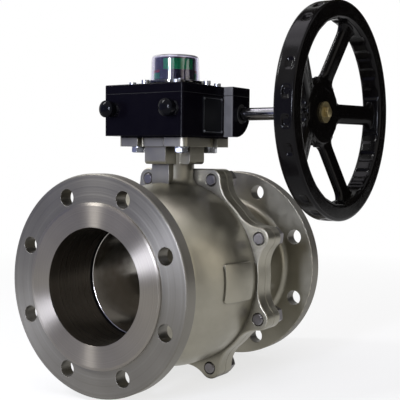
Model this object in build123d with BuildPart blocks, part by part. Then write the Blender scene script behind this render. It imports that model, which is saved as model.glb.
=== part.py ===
from build123d import *
import os
from math import acos, asin, cos, pi, radians, sin, sqrt, tan

# Gear operated ball valve, lengths in millimetres, shown open.
# The origin is the ball centre, +X from inlet to outlet, +Z up the stem and the handwheel towards -Y.

os.makedirs("parts", exist_ok=True)

# Fits
running_gap = 0.05  # radial, between a turning piece and its seat
assembly_gap = 0.1  # radial, between pieces that are bolted or pressed together
thread_gap = 0.05  # radial, between a screw and its tapped hole
screw_gap = 0.5  # radial, between a screw and its clearance hole
travel_gap = 0.3  # kept between moving pieces at a stop

# Pipe ends
bore_d = 150.0
face_to_face = 350.0
flange_d = 285.0
flange_t = 22.0
flange_bolt_inset = 22.5  # bolt circle inside the edge
flange_bolt_count = 8
flange_hole_d = 22.0
raised_face_inset = 14.0  # edge of the raised face inside the bolt circle
raised_face_h = 3.0
flange_root_r = 9.0
flange_edge = 1.0

# Ball, seats and shell
ball_d = 233.0
ball_port_edge = 1.2
ball_clearance = 4.0
shell_wall = 8.5
shoulder_x = 15.0  # where the barrel starts to close in towards the neck
neck_setback = 21.5  # from the ball's pole back to the start of the neck
neck_wall = 19.0
neck_blend_r = 25.0
seat_len = 9.6
seat_inner_wall = 4.0  # step from the bore out to the seat
seat_t = 8.0
balance_hole_d = 6.0

# Bolted joint between body and tailpiece
joint_x = 28.0
body_lug_t = 18.0
tail_lug_t = 17.0
joint_rim_wall = 4.0  # rim beyond the shell
joint_bolt_out = 10.0  # bolt circle beyond the rim
joint_bolt_count = 8
joint_bolt_d = 16.0
lobe_r = 15.5
lobe_blend_r = 42.0
lug_edge_r = 2.0
seam_chamfer = 0.7
spigot_depth = 5.0
spigot_ledge = 3.5  # width of the gasket round the ball chamber
gasket_t = 2.0
stud_proud = 1.5
stud_countersink = 1.2
joint_nut_af = 24.0
joint_nut_h = 13.0

# Cast pad on the side of the body
cast_pad_x = (-57.0, -4.0)
cast_pad_z = (-26.0, 26.0)
cast_pad_h = 4.0
cast_pad_corner_r = 5.0
cast_pad_edge_r = 1.5

# Stem neck and mounting pad
neck_column_d = 55.0
column_blend_r = 12.0
column_rib_x = 34.0
column_rib_w = 29.0
yoke_h = 24.0
yoke_arm_x = 46.5
yoke_arm_y = 38.0
yoke_arm_w = 35.0
yoke_corner_r = 5.0
column_h = 49.0  # from the barrel up to the mounting pad
pad_t = 12.0
pad_size = 114.0
pad_corner_r = 9.0
pad_recess_w = 45.0
pad_recess_depth = 7.0
pad_relief_r = 2.9
pad_socket_d = 70.0
pad_socket_depth = 3.0
pad_bolt_r = 51.0  # radius of the bolt circle
pad_bolt_count = 4
pad_bolt_d = 10.0
pad_bolt_head_af = 17.0
pad_bolt_head_h = 6.4
pad_washer_d = 20.0
pad_washer_t = 2.0
pad_bolt_grip = 15.0  # thread in the gear housing

# Stem and its packing
stem_d = 32.0
stem_square = 24.0
stem_square_len = 41.0
stem_tang_t = 24.0
slot_depth = 18.5
stem_end_gap = 0.5  # under the tang and under the collar
stem_collar_d = 38.0
stem_collar_t = 7.0
thrust_washer_t = 2.0
packing_w = 7.0  # radial room for the packing
packing_floor_t = 8.0  # between the thrust washer and the packing
packing_ring_h = 6.0
packing_ring_count = 4
follower_h = 10.0
disc_spring_t = 1.5
disc_spring_rise = 1.0
disc_spring_count = 2
nut_pocket_gap = 2.5
follower_proud = 1.0
stem_nut_w = 6.5
stem_nut_h = 9.0
stem_nut_slots = 4

# Gear housing
box_x = (-75.0, 72.0)
box_half_y = 65.6
box_lift = 2.0  # above the mounting pad
box_corner_r = 3.0
housing_h = 57.4
cover_t = 12.1
cover_edge_r = 1.5
cover_gasket_t = 0.8
worm_side_r = 38.0
boss_x = (25.0, 72.0)
boss_reach = 14.7
base_block_t = 10.0
wheel_pocket_gap = 2.5  # round the tips of the teeth
cover_screw_inset = 6.1
cover_screw_count = 8
cover_screw_start = -7.5  # degrees
cover_screw_d = 6.0
cover_screw_head_d = 10.0
cover_screw_head_h = 6.0
cover_screw_grip = 7.0
socket_share = 0.5  # width of a hex socket against its screw head

# Worm gearing
worm_h = 34.4  # above the mounting pad
gear_module = 2.5
wheel_teeth = 32
worm_pitch_d = 20.0
worm_turns = 5
pressure_angle = 20.0
root_clearance = 0.5
flank_gap = 0.12  # taken off each flank of thread and tooth
wheel_face_w = 14.0
wheel_hub_d = 54.0
wheel_journal_d = 44.0
wheel_journal_h = 6.6  # into the cover
stop_face = 10.3  # distance of the quadrant's two stop faces from its centre
drive_octagon_af = 36.0
drive_sleeve_h = 46.0
hub_lift = 0.3  # quadrant and sleeve stand this far off the stem neck and cover

# Worm shaft, its bushes and end cover
shaft_d = 18.0
shaft_step = 0.5
shaft_collar_y = (22.4, 24.9)
shaft_collar_gap = 1.1
tunnel_gap = 1.0  # round the worm's thread
passage_gap = 1.0  # round the shaft
bush_y = (25.0, 45.0)
seal_w = 5.0
seal_depth = 7.5
seal_t = 6.0
end_cover_rim = 4.0  # beyond the screw circle
end_cover_t = 5.0
end_screw_out = 4.0  # screw circle beyond the tunnel
end_screw_count = 3
end_screw_d = 5.0
end_screw_head_d = 8.5
end_screw_head_h = 3.0
end_screw_grip = 10.0

# Travel stops
stop_inset = 15.8  # from the side of the box
stop_h = 38.0  # above the mounting pad
stop_screw_d = 12.0
stop_screw_end_x = -89.0
stop_shoe_t = 14.0
stop_shoe_w = 23.0
stop_shoe_h = 17.0
stop_shoe_corner_r = 1.0
stop_shoe_offset = 4.8  # towards the quadrant from the screw's axis
stop_channel_end_x = -60.0
stop_socket_depth = 6.0
stop_nut_af = 18.0
stop_nut_h = 6.0
stop_cap_d = 23.0
stop_cap_neck_d = 21.0
stop_cap_neck_len = 6.0
stop_cap_head_len = 9.0
stop_cap_dome = 4.0

# Position indicator
indicator_shaft_d = 16.0
indicator_stud_d = 10.0
indicator_base_t = 4.5
dome_flange_t = 3.0
dome_flange_w = 6.2
dome_foot_d = 69.6
dome_taper = 1.6
dome_h = 35.8
dome_wall = 1.6
dome_edge_r = 4.0
drum_side_gap = 1.6  # between panels and dome
drum_top_gap = 2.2
drum_wall = 2.0
drum_lift = 5.0
panel_t = 1.0
open_panel_drop = (16.5, 2.0)  # depths below the drum's top
shut_panel_drop = (20.2, 17.0)
side_panel_drop = (29.5, 21.5)
open_half_angle = 42.0
side_half_angle = 34.0
indicator_screw_d = 3.0
indicator_screw_head_d = 5.0
indicator_screw_head_h = 2.0
indicator_screw_grip = 6.0

# Nameplate
plate_x = (-28.0, 21.0)
plate_h = 50.0
plate_rise = 4.0  # above the underside of the box
plate_t = 0.8
plate_corner_r = 2.0
plate_pin_inset = 3.0
plate_pin_d = 2.0
plate_pin_head_d = 3.2
plate_pin_head_h = 0.8

# Handwheel
wheel_d = 287.0
rim_w = 24.3
rim_y = (-237.0, -208.0)
rim_front_edge_r = 2.5
rim_back_edge_r = 6.0
rim_inside_edge_r = 9.0
hub_d = 86.0
hub_y = (-207.0, -193.0)
hub_boss_d = 42.0
hub_boss_y = -172.0
spoke_count = 5
spoke_w = 28.0
spoke_rise = 23.5  # from hub to rim, towards the operator
spoke_root_r = 12.0
spoke_end_r = 14.0
grip_count = 4  # between two spokes
grip_pitch = 14.0  # degrees
grip_depth = 2.2
thumb_dent_r = 15.6
thumb_dent_y = -227.0
finger_dent_r = 14.0
key_w = 6.0
key_h = 6.0
key_len = 22.0
hub_washer_d = 28.0
hub_washer_t = 3.0
hub_screw_d = 8.0
hub_screw_len = 24.0
hub_screw_head_af = 13.0
hub_screw_head_h = 5.3

# Worked out from the sizes above
bore_r = bore_d / 2
end_x = face_to_face / 2
flange_back_x = end_x - flange_t
flange_r = flange_d / 2
flange_bolt_r = flange_r - flange_bolt_inset
raised_face_r = flange_bolt_r - raised_face_inset
ball_r = ball_d / 2
cavity_r = ball_r + ball_clearance
shell_r = cavity_r + shell_wall
neck_r = bore_r + neck_wall
neck_end_x = ball_r - neck_setback
joint_rim_r = shell_r + joint_rim_wall
joint_bolt_r = joint_rim_r + joint_bolt_out
spigot_r = cavity_r + spigot_ledge
seat_inner_r = bore_r + seat_inner_wall
seat_r = seat_inner_r + seat_t
seat_back_x = sqrt(ball_r**2 - seat_inner_r**2) + seat_len
packing_box_r = stem_d / 2 + packing_w
stem_nut_r = stem_d / 2 + stem_nut_w
slot_floor_z = ball_r - slot_depth
stem_tang_bottom_z = slot_floor_z + stem_end_gap
stem_collar_z = (ball_r + stem_end_gap, ball_r + stem_end_gap + stem_collar_t)
thrust_shoulder_z = stem_collar_z[1] + thrust_washer_t
packing_bottom_z = thrust_shoulder_z + packing_floor_t
follower_z = packing_bottom_z + packing_ring_count * packing_ring_h
spring_z = follower_z + follower_h
nut_pocket_z = spring_z - follower_proud
pad_bottom_z = shell_r + column_h
pad_top_z = pad_bottom_z + pad_t
yoke_z = pad_bottom_z - yoke_h
stem_top_z = pad_top_z + stem_square_len
box_bottom_z = pad_top_z + box_lift
housing_floor_z = pad_top_z + base_block_t
seam_z = box_bottom_z + housing_h
cover_top_z = seam_z + cover_t
gasket_bottom_z = seam_z - cover_gasket_t
cover_screw_r = box_half_y - cover_screw_inset
boss_front_y = -(box_half_y + boss_reach)
worm_pitch_r = worm_pitch_d / 2
wheel_pitch_r = gear_module * wheel_teeth / 2
wheel_tip_r = wheel_pitch_r + gear_module
wheel_pocket_r = wheel_tip_r + wheel_pocket_gap
wheel_journal_z = seam_z + wheel_journal_h
drive_sleeve_top_z = pad_top_z + drive_sleeve_h
worm_lead = pi * gear_module
tunnel_r = worm_pitch_r + gear_module + tunnel_gap
shaft_collar_r = tunnel_r - shaft_collar_gap
shaft_journal_r = shaft_d / 2 - shaft_step
seal_r = shaft_d / 2 + seal_w
end_screw_r = tunnel_r + end_screw_out
end_cover_r = end_screw_r + end_cover_rim
worm_x = wheel_pitch_r + worm_pitch_r
worm_z = pad_top_z + worm_h
worm_axis = Axis((worm_x, 0, worm_z), (0, 1, 0))
stop_y = box_half_y - stop_inset
stop_z = pad_top_z + stop_h
shoe_mid_y = stop_y - stop_shoe_offset
dome_base_z = cover_top_z + indicator_base_t
indicator_base_r = dome_foot_d / 2 + dome_flange_w
dome_top_r = dome_foot_d / 2 - dome_taper
dome_top_z = dome_base_z + dome_flange_t + dome_h
drum_r = dome_top_r - dome_wall - drum_side_gap - panel_t
drum_z = dome_base_z + drum_lift
drum_top_z = dome_top_z - dome_wall - drum_top_gap
indicator_screw_r = dome_foot_d / 2 + dome_flange_w / 2
key_mid_y = (hub_boss_y + hub_y[0]) / 2
shaft_end_y = hub_y[0] + hub_washer_t


def finish(piece, name):
    piece.part.label = name
    export_step(piece.part, f"parts/{name}.step")


def ring_of_bolts(circle_r, count):
    """Places on a bolt circle that straddles the centre lines, as on a pipe flange."""
    return PolarLocations(circle_r, count, start_angle=180 / count)


def corners_at(sketch, height, near, far):
    """Corners of a section at one distance from the axis, between two distances along it."""
    return [v for v in sketch.vertices() if abs(v.Y - height) < 0.01 and near < abs(v.X) < far]


def shell_blank(side, barrel_r=shell_r):
    """One half of the shell as a solid: flange, neck and barrel, side -1 for inlet and 1 for outlet."""
    with BuildPart() as blank:
        with BuildSketch(Plane.XZ) as section:
            with BuildLine():
                Polyline(
                    (side * neck_end_x, neck_r),
                    (side * flange_back_x, neck_r),
                    (side * flange_back_x, flange_r),
                    (side * (end_x - raised_face_h), flange_r),
                    (side * (end_x - raised_face_h), raised_face_r),
                    (side * end_x, raised_face_r),
                    (side * end_x, 0),
                    (0, 0),
                    (0, barrel_r),
                    (side * shoulder_x, barrel_r),
                )
                TangentArc((side * shoulder_x, barrel_r), (side * neck_end_x, neck_r), tangent=(side, 0))
            make_face()
            chamfer(corners_at(section, flange_r, 0, end_x), flange_edge)
            fillet(corners_at(section, neck_r, flange_back_x - 1, end_x), flange_root_r)
            fillet(corners_at(section, neck_r, 0, neck_end_x + 1), neck_blend_r)
        revolve(axis=Axis.X)
    return blank.part


def waterway(side):
    """The space inside one half: bore, seat pocket and ball chamber."""
    mouth_x = sqrt(cavity_r**2 - (seat_r + assembly_gap) ** 2)
    mid_angle = asin((seat_r + assembly_gap) / cavity_r) / 2 + pi / 4
    with BuildPart() as space:
        with BuildSketch(Plane.XZ):
            with BuildLine():
                Polyline(
                    (0, 0),
                    (side * end_x, 0),
                    (side * end_x, bore_r),
                    (side * seat_back_x, bore_r),
                    (side * seat_back_x, seat_r + assembly_gap),
                    (side * mouth_x, seat_r + assembly_gap),
                )
                ThreePointArc(
                    (side * mouth_x, seat_r + assembly_gap),
                    (side * cavity_r * cos(mid_angle), cavity_r * sin(mid_angle)),
                    (0, cavity_r),
                )
                Line((0, cavity_r), (0, 0))
            make_face()
        revolve(axis=Axis.X)
    return space.part


def draw_joint_outline(sketch):
    """Rim with a lobe round each stud, and one straight top between the two lobes beside the stem neck."""
    top_lobe = radians(180 / joint_bolt_count)
    Circle(joint_rim_r)
    with ring_of_bolts(joint_bolt_r, joint_bolt_count):
        Circle(lobe_r)
    with Locations((0, joint_bolt_r * cos(top_lobe) + lobe_r)):
        Rectangle(2 * joint_bolt_r * sin(top_lobe), joint_bolt_r / 2, align=(Align.CENTER, Align.MAX))
    valleys = [v for v in sketch.vertices() if v.center().length < joint_bolt_r]
    fillet(valleys, lobe_blend_r)


def joint_lug(front_x, thickness, seam_first):
    """Lobed half of the joint, with a rounded outer edge and a small chamfer at the seam."""
    with BuildPart() as lug:
        with BuildSketch(Plane.YZ.offset(front_x)) as outline:
            draw_joint_outline(outline)
        extrude(amount=thickness)
        ends = lug.faces().filter_by(Axis.X).sort_by(Axis.X)
        seam, outer = (ends[0], ends[-1]) if seam_first else (ends[-1], ends[0])
        chamfer(seam.edges(), seam_chamfer)
        fillet(outer.edges(), lug_edge_r)
    return lug.part


def cut_flange_holes(side):
    with BuildSketch(Plane.YZ.offset(side * end_x)) as holes:
        with ring_of_bolts(flange_bolt_r, flange_bolt_count):
            Circle(flange_hole_d / 2)
    extrude(holes.sketch, amount=-side * flange_t, mode=Mode.SUBTRACT)


def cut_bore(diameter, bottom_z, top_z):
    """Round hole on the stem axis."""
    upwards = (Align.CENTER, Align.CENTER, Align.MIN)
    with Locations((0, 0, bottom_z)):
        Cylinder(diameter / 2, top_z - bottom_z, align=upwards, mode=Mode.SUBTRACT)


# Body casting: inlet flange, barrel, front half of the joint, stem neck, yoke and mounting pad
with BuildPart() as barrel:
    add(shell_blank(-1))
    with BuildSketch(Plane.YZ):
        Circle(shell_r)
    extrude(amount=joint_x)
    with BuildSketch(Plane.XY.offset(ball_r)):
        Circle(neck_column_d / 2)
    extrude(amount=pad_bottom_z - ball_r)
    column_foot = [
        edge
        for edge in barrel.edges()
        if edge.bounding_box().min.Z > ball_r
        and edge.bounding_box().max.Z < shell_r + 1
        and max(edge.bounding_box().size.X, edge.bounding_box().size.Y) < neck_column_d + 1
        and edge.geom_type == GeomType.BSPLINE
    ]
    fillet(column_foot, column_blend_r)

with BuildPart() as cast_pad:
    add(shell_blank(-1, shell_r + cast_pad_h))
    with BuildSketch(Plane.XZ.offset(ball_r / 2)):
        with Locations(((cast_pad_x[0] + cast_pad_x[1]) / 2, (cast_pad_z[0] + cast_pad_z[1]) / 2)):
            RectangleRounded(cast_pad_x[1] - cast_pad_x[0], cast_pad_z[1] - cast_pad_z[0], cast_pad_corner_r)
    extrude(amount=ball_d, mode=Mode.INTERSECT)
    fillet(cast_pad.faces().sort_by(Axis.Y)[0].edges(), cast_pad_edge_r)

with BuildPart() as body_casting:
    add(barrel.part)
    add(cast_pad.part)
    add(joint_lug(joint_x - body_lug_t, body_lug_t, seam_first=False))
    with BuildSketch(Plane.XY.offset(ball_r)):
        with Locations((-column_rib_x / 2, 0)):
            Rectangle(column_rib_x, column_rib_w)
    extrude(amount=yoke_z - ball_r)
    for plane, reach in ((Plane.XZ, yoke_arm_x), (Plane.YZ, yoke_arm_y)):
        with BuildSketch(plane.offset(-yoke_arm_w / 2)) as arms:
            with Locations((0, yoke_z)):
                Rectangle(2 * reach, pad_bottom_z - yoke_z, align=(Align.CENTER, Align.MIN))
            fillet(arms.vertices().group_by(Axis.Y)[0], yoke_corner_r)
        extrude(amount=yoke_arm_w)
    with BuildSketch(Plane.XY.offset(pad_bottom_z)):
        RectangleRounded(pad_size, pad_size, pad_corner_r)
        recess_x = pad_size / 2 - pad_recess_depth
        relief_y = pad_recess_w / 2 - pad_relief_r
        for side in range(4):
            with Locations(Location((0, 0), 90 * side)):
                with Locations((pad_size / 2, 0)):
                    Rectangle(2 * pad_recess_depth, pad_recess_w, mode=Mode.SUBTRACT)
                with Locations((recess_x, relief_y), (recess_x, -relief_y)):
                    Circle(pad_relief_r, mode=Mode.SUBTRACT)
    extrude(amount=pad_t)
    add(waterway(-1), mode=Mode.SUBTRACT)
    with BuildSketch(Plane.YZ):
        Circle(cavity_r)
    extrude(amount=joint_x, mode=Mode.SUBTRACT)
    with BuildSketch(Plane.YZ.offset(joint_x)):
        Circle(spigot_r + assembly_gap)
    extrude(amount=-(spigot_depth + gasket_t), mode=Mode.SUBTRACT)
    cut_flange_holes(-1)
    with BuildSketch(Plane.YZ.offset(joint_x)):
        with ring_of_bolts(joint_bolt_r, joint_bolt_count):
            Circle(joint_bolt_d / 2 + thread_gap)
    extrude(amount=-body_lug_t, mode=Mode.SUBTRACT)
    lug_rings = body_casting.edges().filter_by(GeomType.CIRCLE).filter_by(
        lambda e: abs(e.arc_center.X - joint_x + body_lug_t) < 0.01 and e.radius < joint_bolt_d
    )
    chamfer(lug_rings, stud_countersink)
    # stem bore, stepped from the collar pocket up to the socket for the gear housing
    cut_bore(stem_collar_d + 2 * assembly_gap, stem_tang_bottom_z, thrust_shoulder_z)
    cut_bore(stem_d + 2 * running_gap, thrust_shoulder_z, packing_bottom_z)
    cut_bore(2 * packing_box_r, packing_bottom_z, nut_pocket_z)
    cut_bore(2 * (stem_nut_r + nut_pocket_gap), nut_pocket_z, pad_top_z)
    cut_bore(pad_socket_d, pad_top_z - pad_socket_depth, pad_top_z)
    with BuildSketch(Plane.XY.offset(pad_top_z)):
        with ring_of_bolts(pad_bolt_r, pad_bolt_count):
            Circle(pad_bolt_d / 2 + screw_gap)
    extrude(amount=-pad_t, mode=Mode.SUBTRACT)
finish(body_casting, "body_casting")

# Tailpiece: rear half of the joint with its spigot, the rest of the ball chamber and the outlet flange
with BuildPart() as tailpiece:
    add(shell_blank(1))
    split(bisect_by=Plane.YZ.offset(joint_x))
    add(joint_lug(joint_x, tail_lug_t, seam_first=True))
    with BuildSketch(Plane.YZ.offset(joint_x)):
        Circle(spigot_r)
    extrude(amount=-spigot_depth)
    add(waterway(1), mode=Mode.SUBTRACT)
    cut_flange_holes(1)
    with BuildSketch(Plane.YZ.offset(joint_x)):
        with ring_of_bolts(joint_bolt_r, joint_bolt_count):
            Circle(joint_bolt_d / 2 + screw_gap)
    extrude(amount=tail_lug_t, mode=Mode.SUBTRACT)
finish(tailpiece, "tailpiece")

# Gasket at the bottom of the spigot's counterbore
with BuildPart() as body_gasket:
    with BuildSketch(Plane.YZ.offset(joint_x - spigot_depth - gasket_t)):
        Circle(spigot_r)
        Circle(cavity_r, mode=Mode.SUBTRACT)
    extrude(amount=gasket_t)
finish(body_gasket, "body_gasket")

# Joint studs, screwed into the body lugs, with their nuts behind the tailpiece lugs
stud_front_x = joint_x - body_lug_t - stud_proud
stud_len = stud_proud + body_lug_t + tail_lug_t + joint_nut_h + stud_proud
with BuildPart() as joint_studs:
    with BuildSketch(Plane.YZ.offset(stud_front_x)):
        with ring_of_bolts(joint_bolt_r, joint_bolt_count):
            Circle(joint_bolt_d / 2)
    extrude(amount=stud_len)
    chamfer(joint_studs.edges().group_by(Axis.X)[0], stud_proud * 0.8)
finish(joint_studs, "joint_studs")

with BuildPart() as joint_nuts:
    with BuildSketch(Plane.YZ.offset(joint_x + tail_lug_t)):
        with ring_of_bolts(joint_bolt_r, joint_bolt_count):
            RegularPolygon(joint_nut_af / 2, 6, major_radius=False)
            Circle(joint_bolt_d / 2 + thread_gap, mode=Mode.SUBTRACT)
    extrude(amount=joint_nut_h)
finish(joint_nuts, "joint_nuts")

# Ball with its port, the stem slot across the top and a pressure balance hole
with BuildPart() as ball:
    Sphere(ball_r)
    with BuildSketch(Plane.YZ.offset(-ball_r)):
        Circle(bore_r)
    extrude(amount=ball_d, mode=Mode.SUBTRACT)
    port_edges = ball.edges().filter_by(GeomType.CIRCLE).filter_by(lambda e: abs(e.radius - bore_r) < 0.01)
    chamfer(port_edges, ball_port_edge)
    with BuildSketch(Plane.XY.offset(slot_floor_z)):
        Rectangle(stem_tang_t + 2 * assembly_gap, ball_d)
    extrude(amount=ball_r - slot_floor_z + 1, mode=Mode.SUBTRACT)
    with BuildSketch(Plane.XY.offset(slot_floor_z)):
        Circle(balance_hole_d / 2)
    extrude(amount=bore_r * 0.9 - slot_floor_z, mode=Mode.SUBTRACT)
finish(ball, "ball")


def seat_ring(side):
    """Seat whose front is the sphere of the ball plus a running gap."""
    seat_sphere_r = ball_r + running_gap
    inner_x = sqrt(seat_sphere_r**2 - seat_inner_r**2)
    outer_x = sqrt(seat_sphere_r**2 - seat_r**2)
    mid_r = (seat_inner_r + seat_r) / 2
    with BuildPart() as seat:
        with BuildSketch(Plane.XZ):
            with BuildLine():
                Polyline(
                    (side * inner_x, seat_inner_r),
                    (side * seat_back_x, seat_inner_r),
                    (side * seat_back_x, seat_r),
                    (side * outer_x, seat_r),
                )
                ThreePointArc(
                    (side * outer_x, seat_r),
                    (side * sqrt(seat_sphere_r**2 - mid_r**2), mid_r),
                    (side * inner_x, seat_inner_r),
                )
            make_face()
        revolve(axis=Axis.X)
    return seat


finish(seat_ring(-1), "seat_ring_inlet")
finish(seat_ring(1), "seat_ring_outlet")

# Stem: tang in the ball's slot, blowout-proof collar, round shank and a square for the gear
with BuildPart() as stem:
    with BuildSketch(Plane.XY.offset(stem_tang_bottom_z)):
        Circle(stem_collar_d / 2)
        Rectangle(stem_tang_t, stem_collar_d, mode=Mode.INTERSECT)
    extrude(amount=stem_collar_z[0] - stem_tang_bottom_z)
    with BuildSketch(Plane.XY.offset(stem_collar_z[0])):
        Circle(stem_collar_d / 2)
    extrude(amount=stem_collar_z[1] - stem_collar_z[0])
    with BuildSketch(Plane.XY.offset(stem_collar_z[1])):
        Circle(stem_d / 2)
    extrude(amount=pad_top_z - stem_collar_z[1])
    with BuildSketch(Plane.XY.offset(pad_top_z)):
        Circle(stem_d / 2)
        Rectangle(stem_square, stem_square, mode=Mode.INTERSECT)
    extrude(amount=stem_top_z - pad_top_z)
    chamfer(stem.faces().sort_by(Axis.Z)[-1].edges(), 1)
finish(stem, "stem")

with BuildPart() as stem_thrust_washer:
    with BuildSketch(Plane.XY.offset(stem_collar_z[1])):
        Circle(stem_collar_d / 2)
        Circle(stem_d / 2 + running_gap, mode=Mode.SUBTRACT)
    extrude(amount=thrust_washer_t)
finish(stem_thrust_washer, "stem_thrust_washer")

# Chevron packing rings, nested on each other between two flat ends
packing_inner_r = stem_d / 2 + running_gap
packing_outer_r = packing_box_r - running_gap
packing_mid_r = (packing_inner_r + packing_outer_r) / 2
packing_rise = packing_ring_h / 3
with BuildPart() as stem_packing:
    for ring in range(packing_ring_count):
        low = 0 if ring == 0 else packing_rise
        high = 0 if ring == packing_ring_count - 1 else packing_rise
        bottom_z = packing_bottom_z + ring * packing_ring_h
        top_z = bottom_z + packing_ring_h
        with BuildSketch(Plane.XZ):
            with BuildLine():
                Polyline(
                    (packing_inner_r, bottom_z),
                    (packing_mid_r, bottom_z + low),
                    (packing_outer_r, bottom_z),
                    (packing_outer_r, top_z),
                    (packing_mid_r, top_z + high),
                    (packing_inner_r, top_z),
                    close=True,
                )
            make_face()
        revolve(axis=Axis.Z, mode=Mode.ADD)
finish(stem_packing, "stem_packing")

with BuildPart() as gland_follower:
    with BuildSketch(Plane.XY.offset(follower_z)):
        Circle(packing_outer_r)
        Circle(packing_inner_r, mode=Mode.SUBTRACT)
    extrude(amount=follower_h)
finish(gland_follower, "gland_follower")

# Disc springs, set opposite ways, that keep the packing loaded
spring_step = disc_spring_t + disc_spring_rise
with BuildPart() as disc_springs:
    for spring in range(disc_spring_count):
        inner_rise, outer_rise = (disc_spring_rise, 0) if spring % 2 == 0 else (0, disc_spring_rise)
        base_z = spring_z + spring * spring_step
        with BuildSketch(Plane.XZ):
            with BuildLine():
                Polyline(
                    (packing_inner_r, base_z + inner_rise),
                    (packing_outer_r, base_z + outer_rise),
                    (packing_outer_r, base_z + outer_rise + disc_spring_t),
                    (packing_inner_r, base_z + inner_rise + disc_spring_t),
                    close=True,
                )
            make_face()
        revolve(axis=Axis.Z)
finish(disc_springs, "disc_springs")

with BuildPart() as stem_nut:
    with BuildSketch(Plane.XY.offset(spring_z + disc_spring_count * spring_step)):
        Circle(stem_nut_r)
        Circle(stem_d / 2 + thread_gap, mode=Mode.SUBTRACT)
        with PolarLocations(stem_nut_r, stem_nut_slots):
            Rectangle(stem_nut_r / 4, stem_nut_r / 4, mode=Mode.SUBTRACT)
    extrude(amount=stem_nut_h)
finish(stem_nut, "stem_nut")

# Bolts from under the mounting pad into the gear housing, with their washers
with BuildPart() as mounting_washers:
    with BuildSketch(Plane.XY.offset(pad_bottom_z)):
        with ring_of_bolts(pad_bolt_r, pad_bolt_count):
            Circle(pad_washer_d / 2)
            Circle(pad_bolt_d / 2 + assembly_gap, mode=Mode.SUBTRACT)
    extrude(amount=-pad_washer_t)
finish(mounting_washers, "mounting_washers")

with BuildPart() as mounting_bolts:
    with BuildSketch(Plane.XY.offset(pad_bottom_z - pad_washer_t)):
        with ring_of_bolts(pad_bolt_r, pad_bolt_count):
            RegularPolygon(pad_bolt_head_af / 2, 6, major_radius=False)
    extrude(amount=-pad_bolt_head_h)
    with BuildSketch(Plane.XY.offset(pad_bottom_z - pad_washer_t)):
        with ring_of_bolts(pad_bolt_r, pad_bolt_count):
            Circle(pad_bolt_d / 2)
    extrude(amount=pad_washer_t + pad_t + pad_bolt_grip)
finish(mounting_bolts, "mounting_bolts")


def gearbox_slab(bottom_z, thickness):
    """Plan shared by housing, gasket and cover: the box and the boss that carries the input shaft."""
    with BuildPart() as slab:
        with BuildSketch(Plane.XY.offset(bottom_z)) as plan:
            Polygon(
                (box_x[0], -box_half_y),
                (boss_x[0], -box_half_y),
                (boss_x[0], boss_front_y),
                (box_x[1], boss_front_y),
                (box_x[1], box_half_y),
                (box_x[0], box_half_y),
                align=None,
            )
            fillet([v for v in plan.vertices() if (v.X, v.Y) != (boss_x[0], -box_half_y)], box_corner_r)
        extrude(amount=thickness)
    return slab.part


def cut_cover_screw_holes(top_z, depth, gap):
    with BuildSketch(Plane.XY.offset(top_z)) as holes:
        with PolarLocations(cover_screw_r, cover_screw_count, start_angle=cover_screw_start):
            Circle(cover_screw_d / 2 + gap)
    extrude(holes.sketch, amount=-depth, mode=Mode.SUBTRACT)


# Gear housing: wheel pocket open at the top, worm tunnel along Y, and channels for the two stop shoes
tunnel_plane = Plane(origin=(worm_x, 0, worm_z), x_dir=(1, 0, 0), z_dir=(0, -1, 0))
with BuildPart() as gear_housing:
    add(gearbox_slab(box_bottom_z, gasket_bottom_z - box_bottom_z))
    # the lower corner beside the worm is rounded along the whole length
    with BuildSketch(Plane.XZ.offset(2 * box_half_y)) as profile:
        with Locations((box_x[0], box_bottom_z)):
            Rectangle(box_x[1] - box_x[0], seam_z - box_bottom_z, align=(Align.MIN, Align.MIN))
        fillet(profile.vertices().group_by(Axis.Y)[0].sort_by(Axis.X)[-1], worm_side_r)
    extrude(amount=-4 * box_half_y, mode=Mode.INTERSECT)
    with BuildSketch(Plane.XY.offset(pad_top_z)):
        RectangleRounded(pad_size, pad_size, pad_corner_r)
    extrude(amount=base_block_t)
    with BuildSketch(Plane.XY.offset(pad_top_z)):
        Circle(pad_socket_d / 2 - assembly_gap)
    extrude(amount=-(pad_socket_depth - assembly_gap))
    cut_bore(wheel_hub_d + 2 * running_gap, pad_top_z - pad_socket_depth, housing_floor_z)
    cut_bore(2 * wheel_pocket_r, housing_floor_z, gasket_bottom_z)
    with BuildSketch(tunnel_plane.offset(-box_half_y)):
        Circle(tunnel_r)
    extrude(amount=box_half_y + bush_y[1], mode=Mode.SUBTRACT)
    with BuildSketch(tunnel_plane):
        Circle(shaft_d / 2 + passage_gap)
    extrude(amount=-boss_front_y, mode=Mode.SUBTRACT)
    with BuildSketch(tunnel_plane.offset(-boss_front_y)):
        Circle(seal_r)
    extrude(amount=-seal_depth, mode=Mode.SUBTRACT)
    for stop_side in (-1, 1):
        with BuildSketch(Plane.YZ.offset(stop_channel_end_x)):
            with Locations((stop_side * shoe_mid_y, stop_z)):
                Rectangle(stop_shoe_w + 2 * assembly_gap, stop_shoe_h + 2 * assembly_gap)
        extrude(amount=-stop_channel_end_x - stop_face / 2, mode=Mode.SUBTRACT)
        with BuildSketch(Plane.YZ.offset(box_x[0])):
            with Locations((stop_side * stop_y, stop_z)):
                Circle(stop_screw_d / 2 + thread_gap)
        extrude(amount=stop_channel_end_x - box_x[0], mode=Mode.SUBTRACT)
    cut_cover_screw_holes(gasket_bottom_z, cover_screw_grip - cover_gasket_t, thread_gap)
    with BuildSketch(Plane.XY.offset(pad_top_z)):
        with ring_of_bolts(pad_bolt_r, pad_bolt_count):
            Circle(pad_bolt_d / 2 + thread_gap)
    extrude(amount=pad_bolt_grip + 1, mode=Mode.SUBTRACT)
    with BuildSketch(tunnel_plane.offset(-box_half_y)):
        with PolarLocations(end_screw_r, end_screw_count, start_angle=90):
            Circle(end_screw_d / 2 + thread_gap)
    extrude(amount=end_screw_grip, mode=Mode.SUBTRACT)
finish(gear_housing, "gear_housing")

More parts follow.
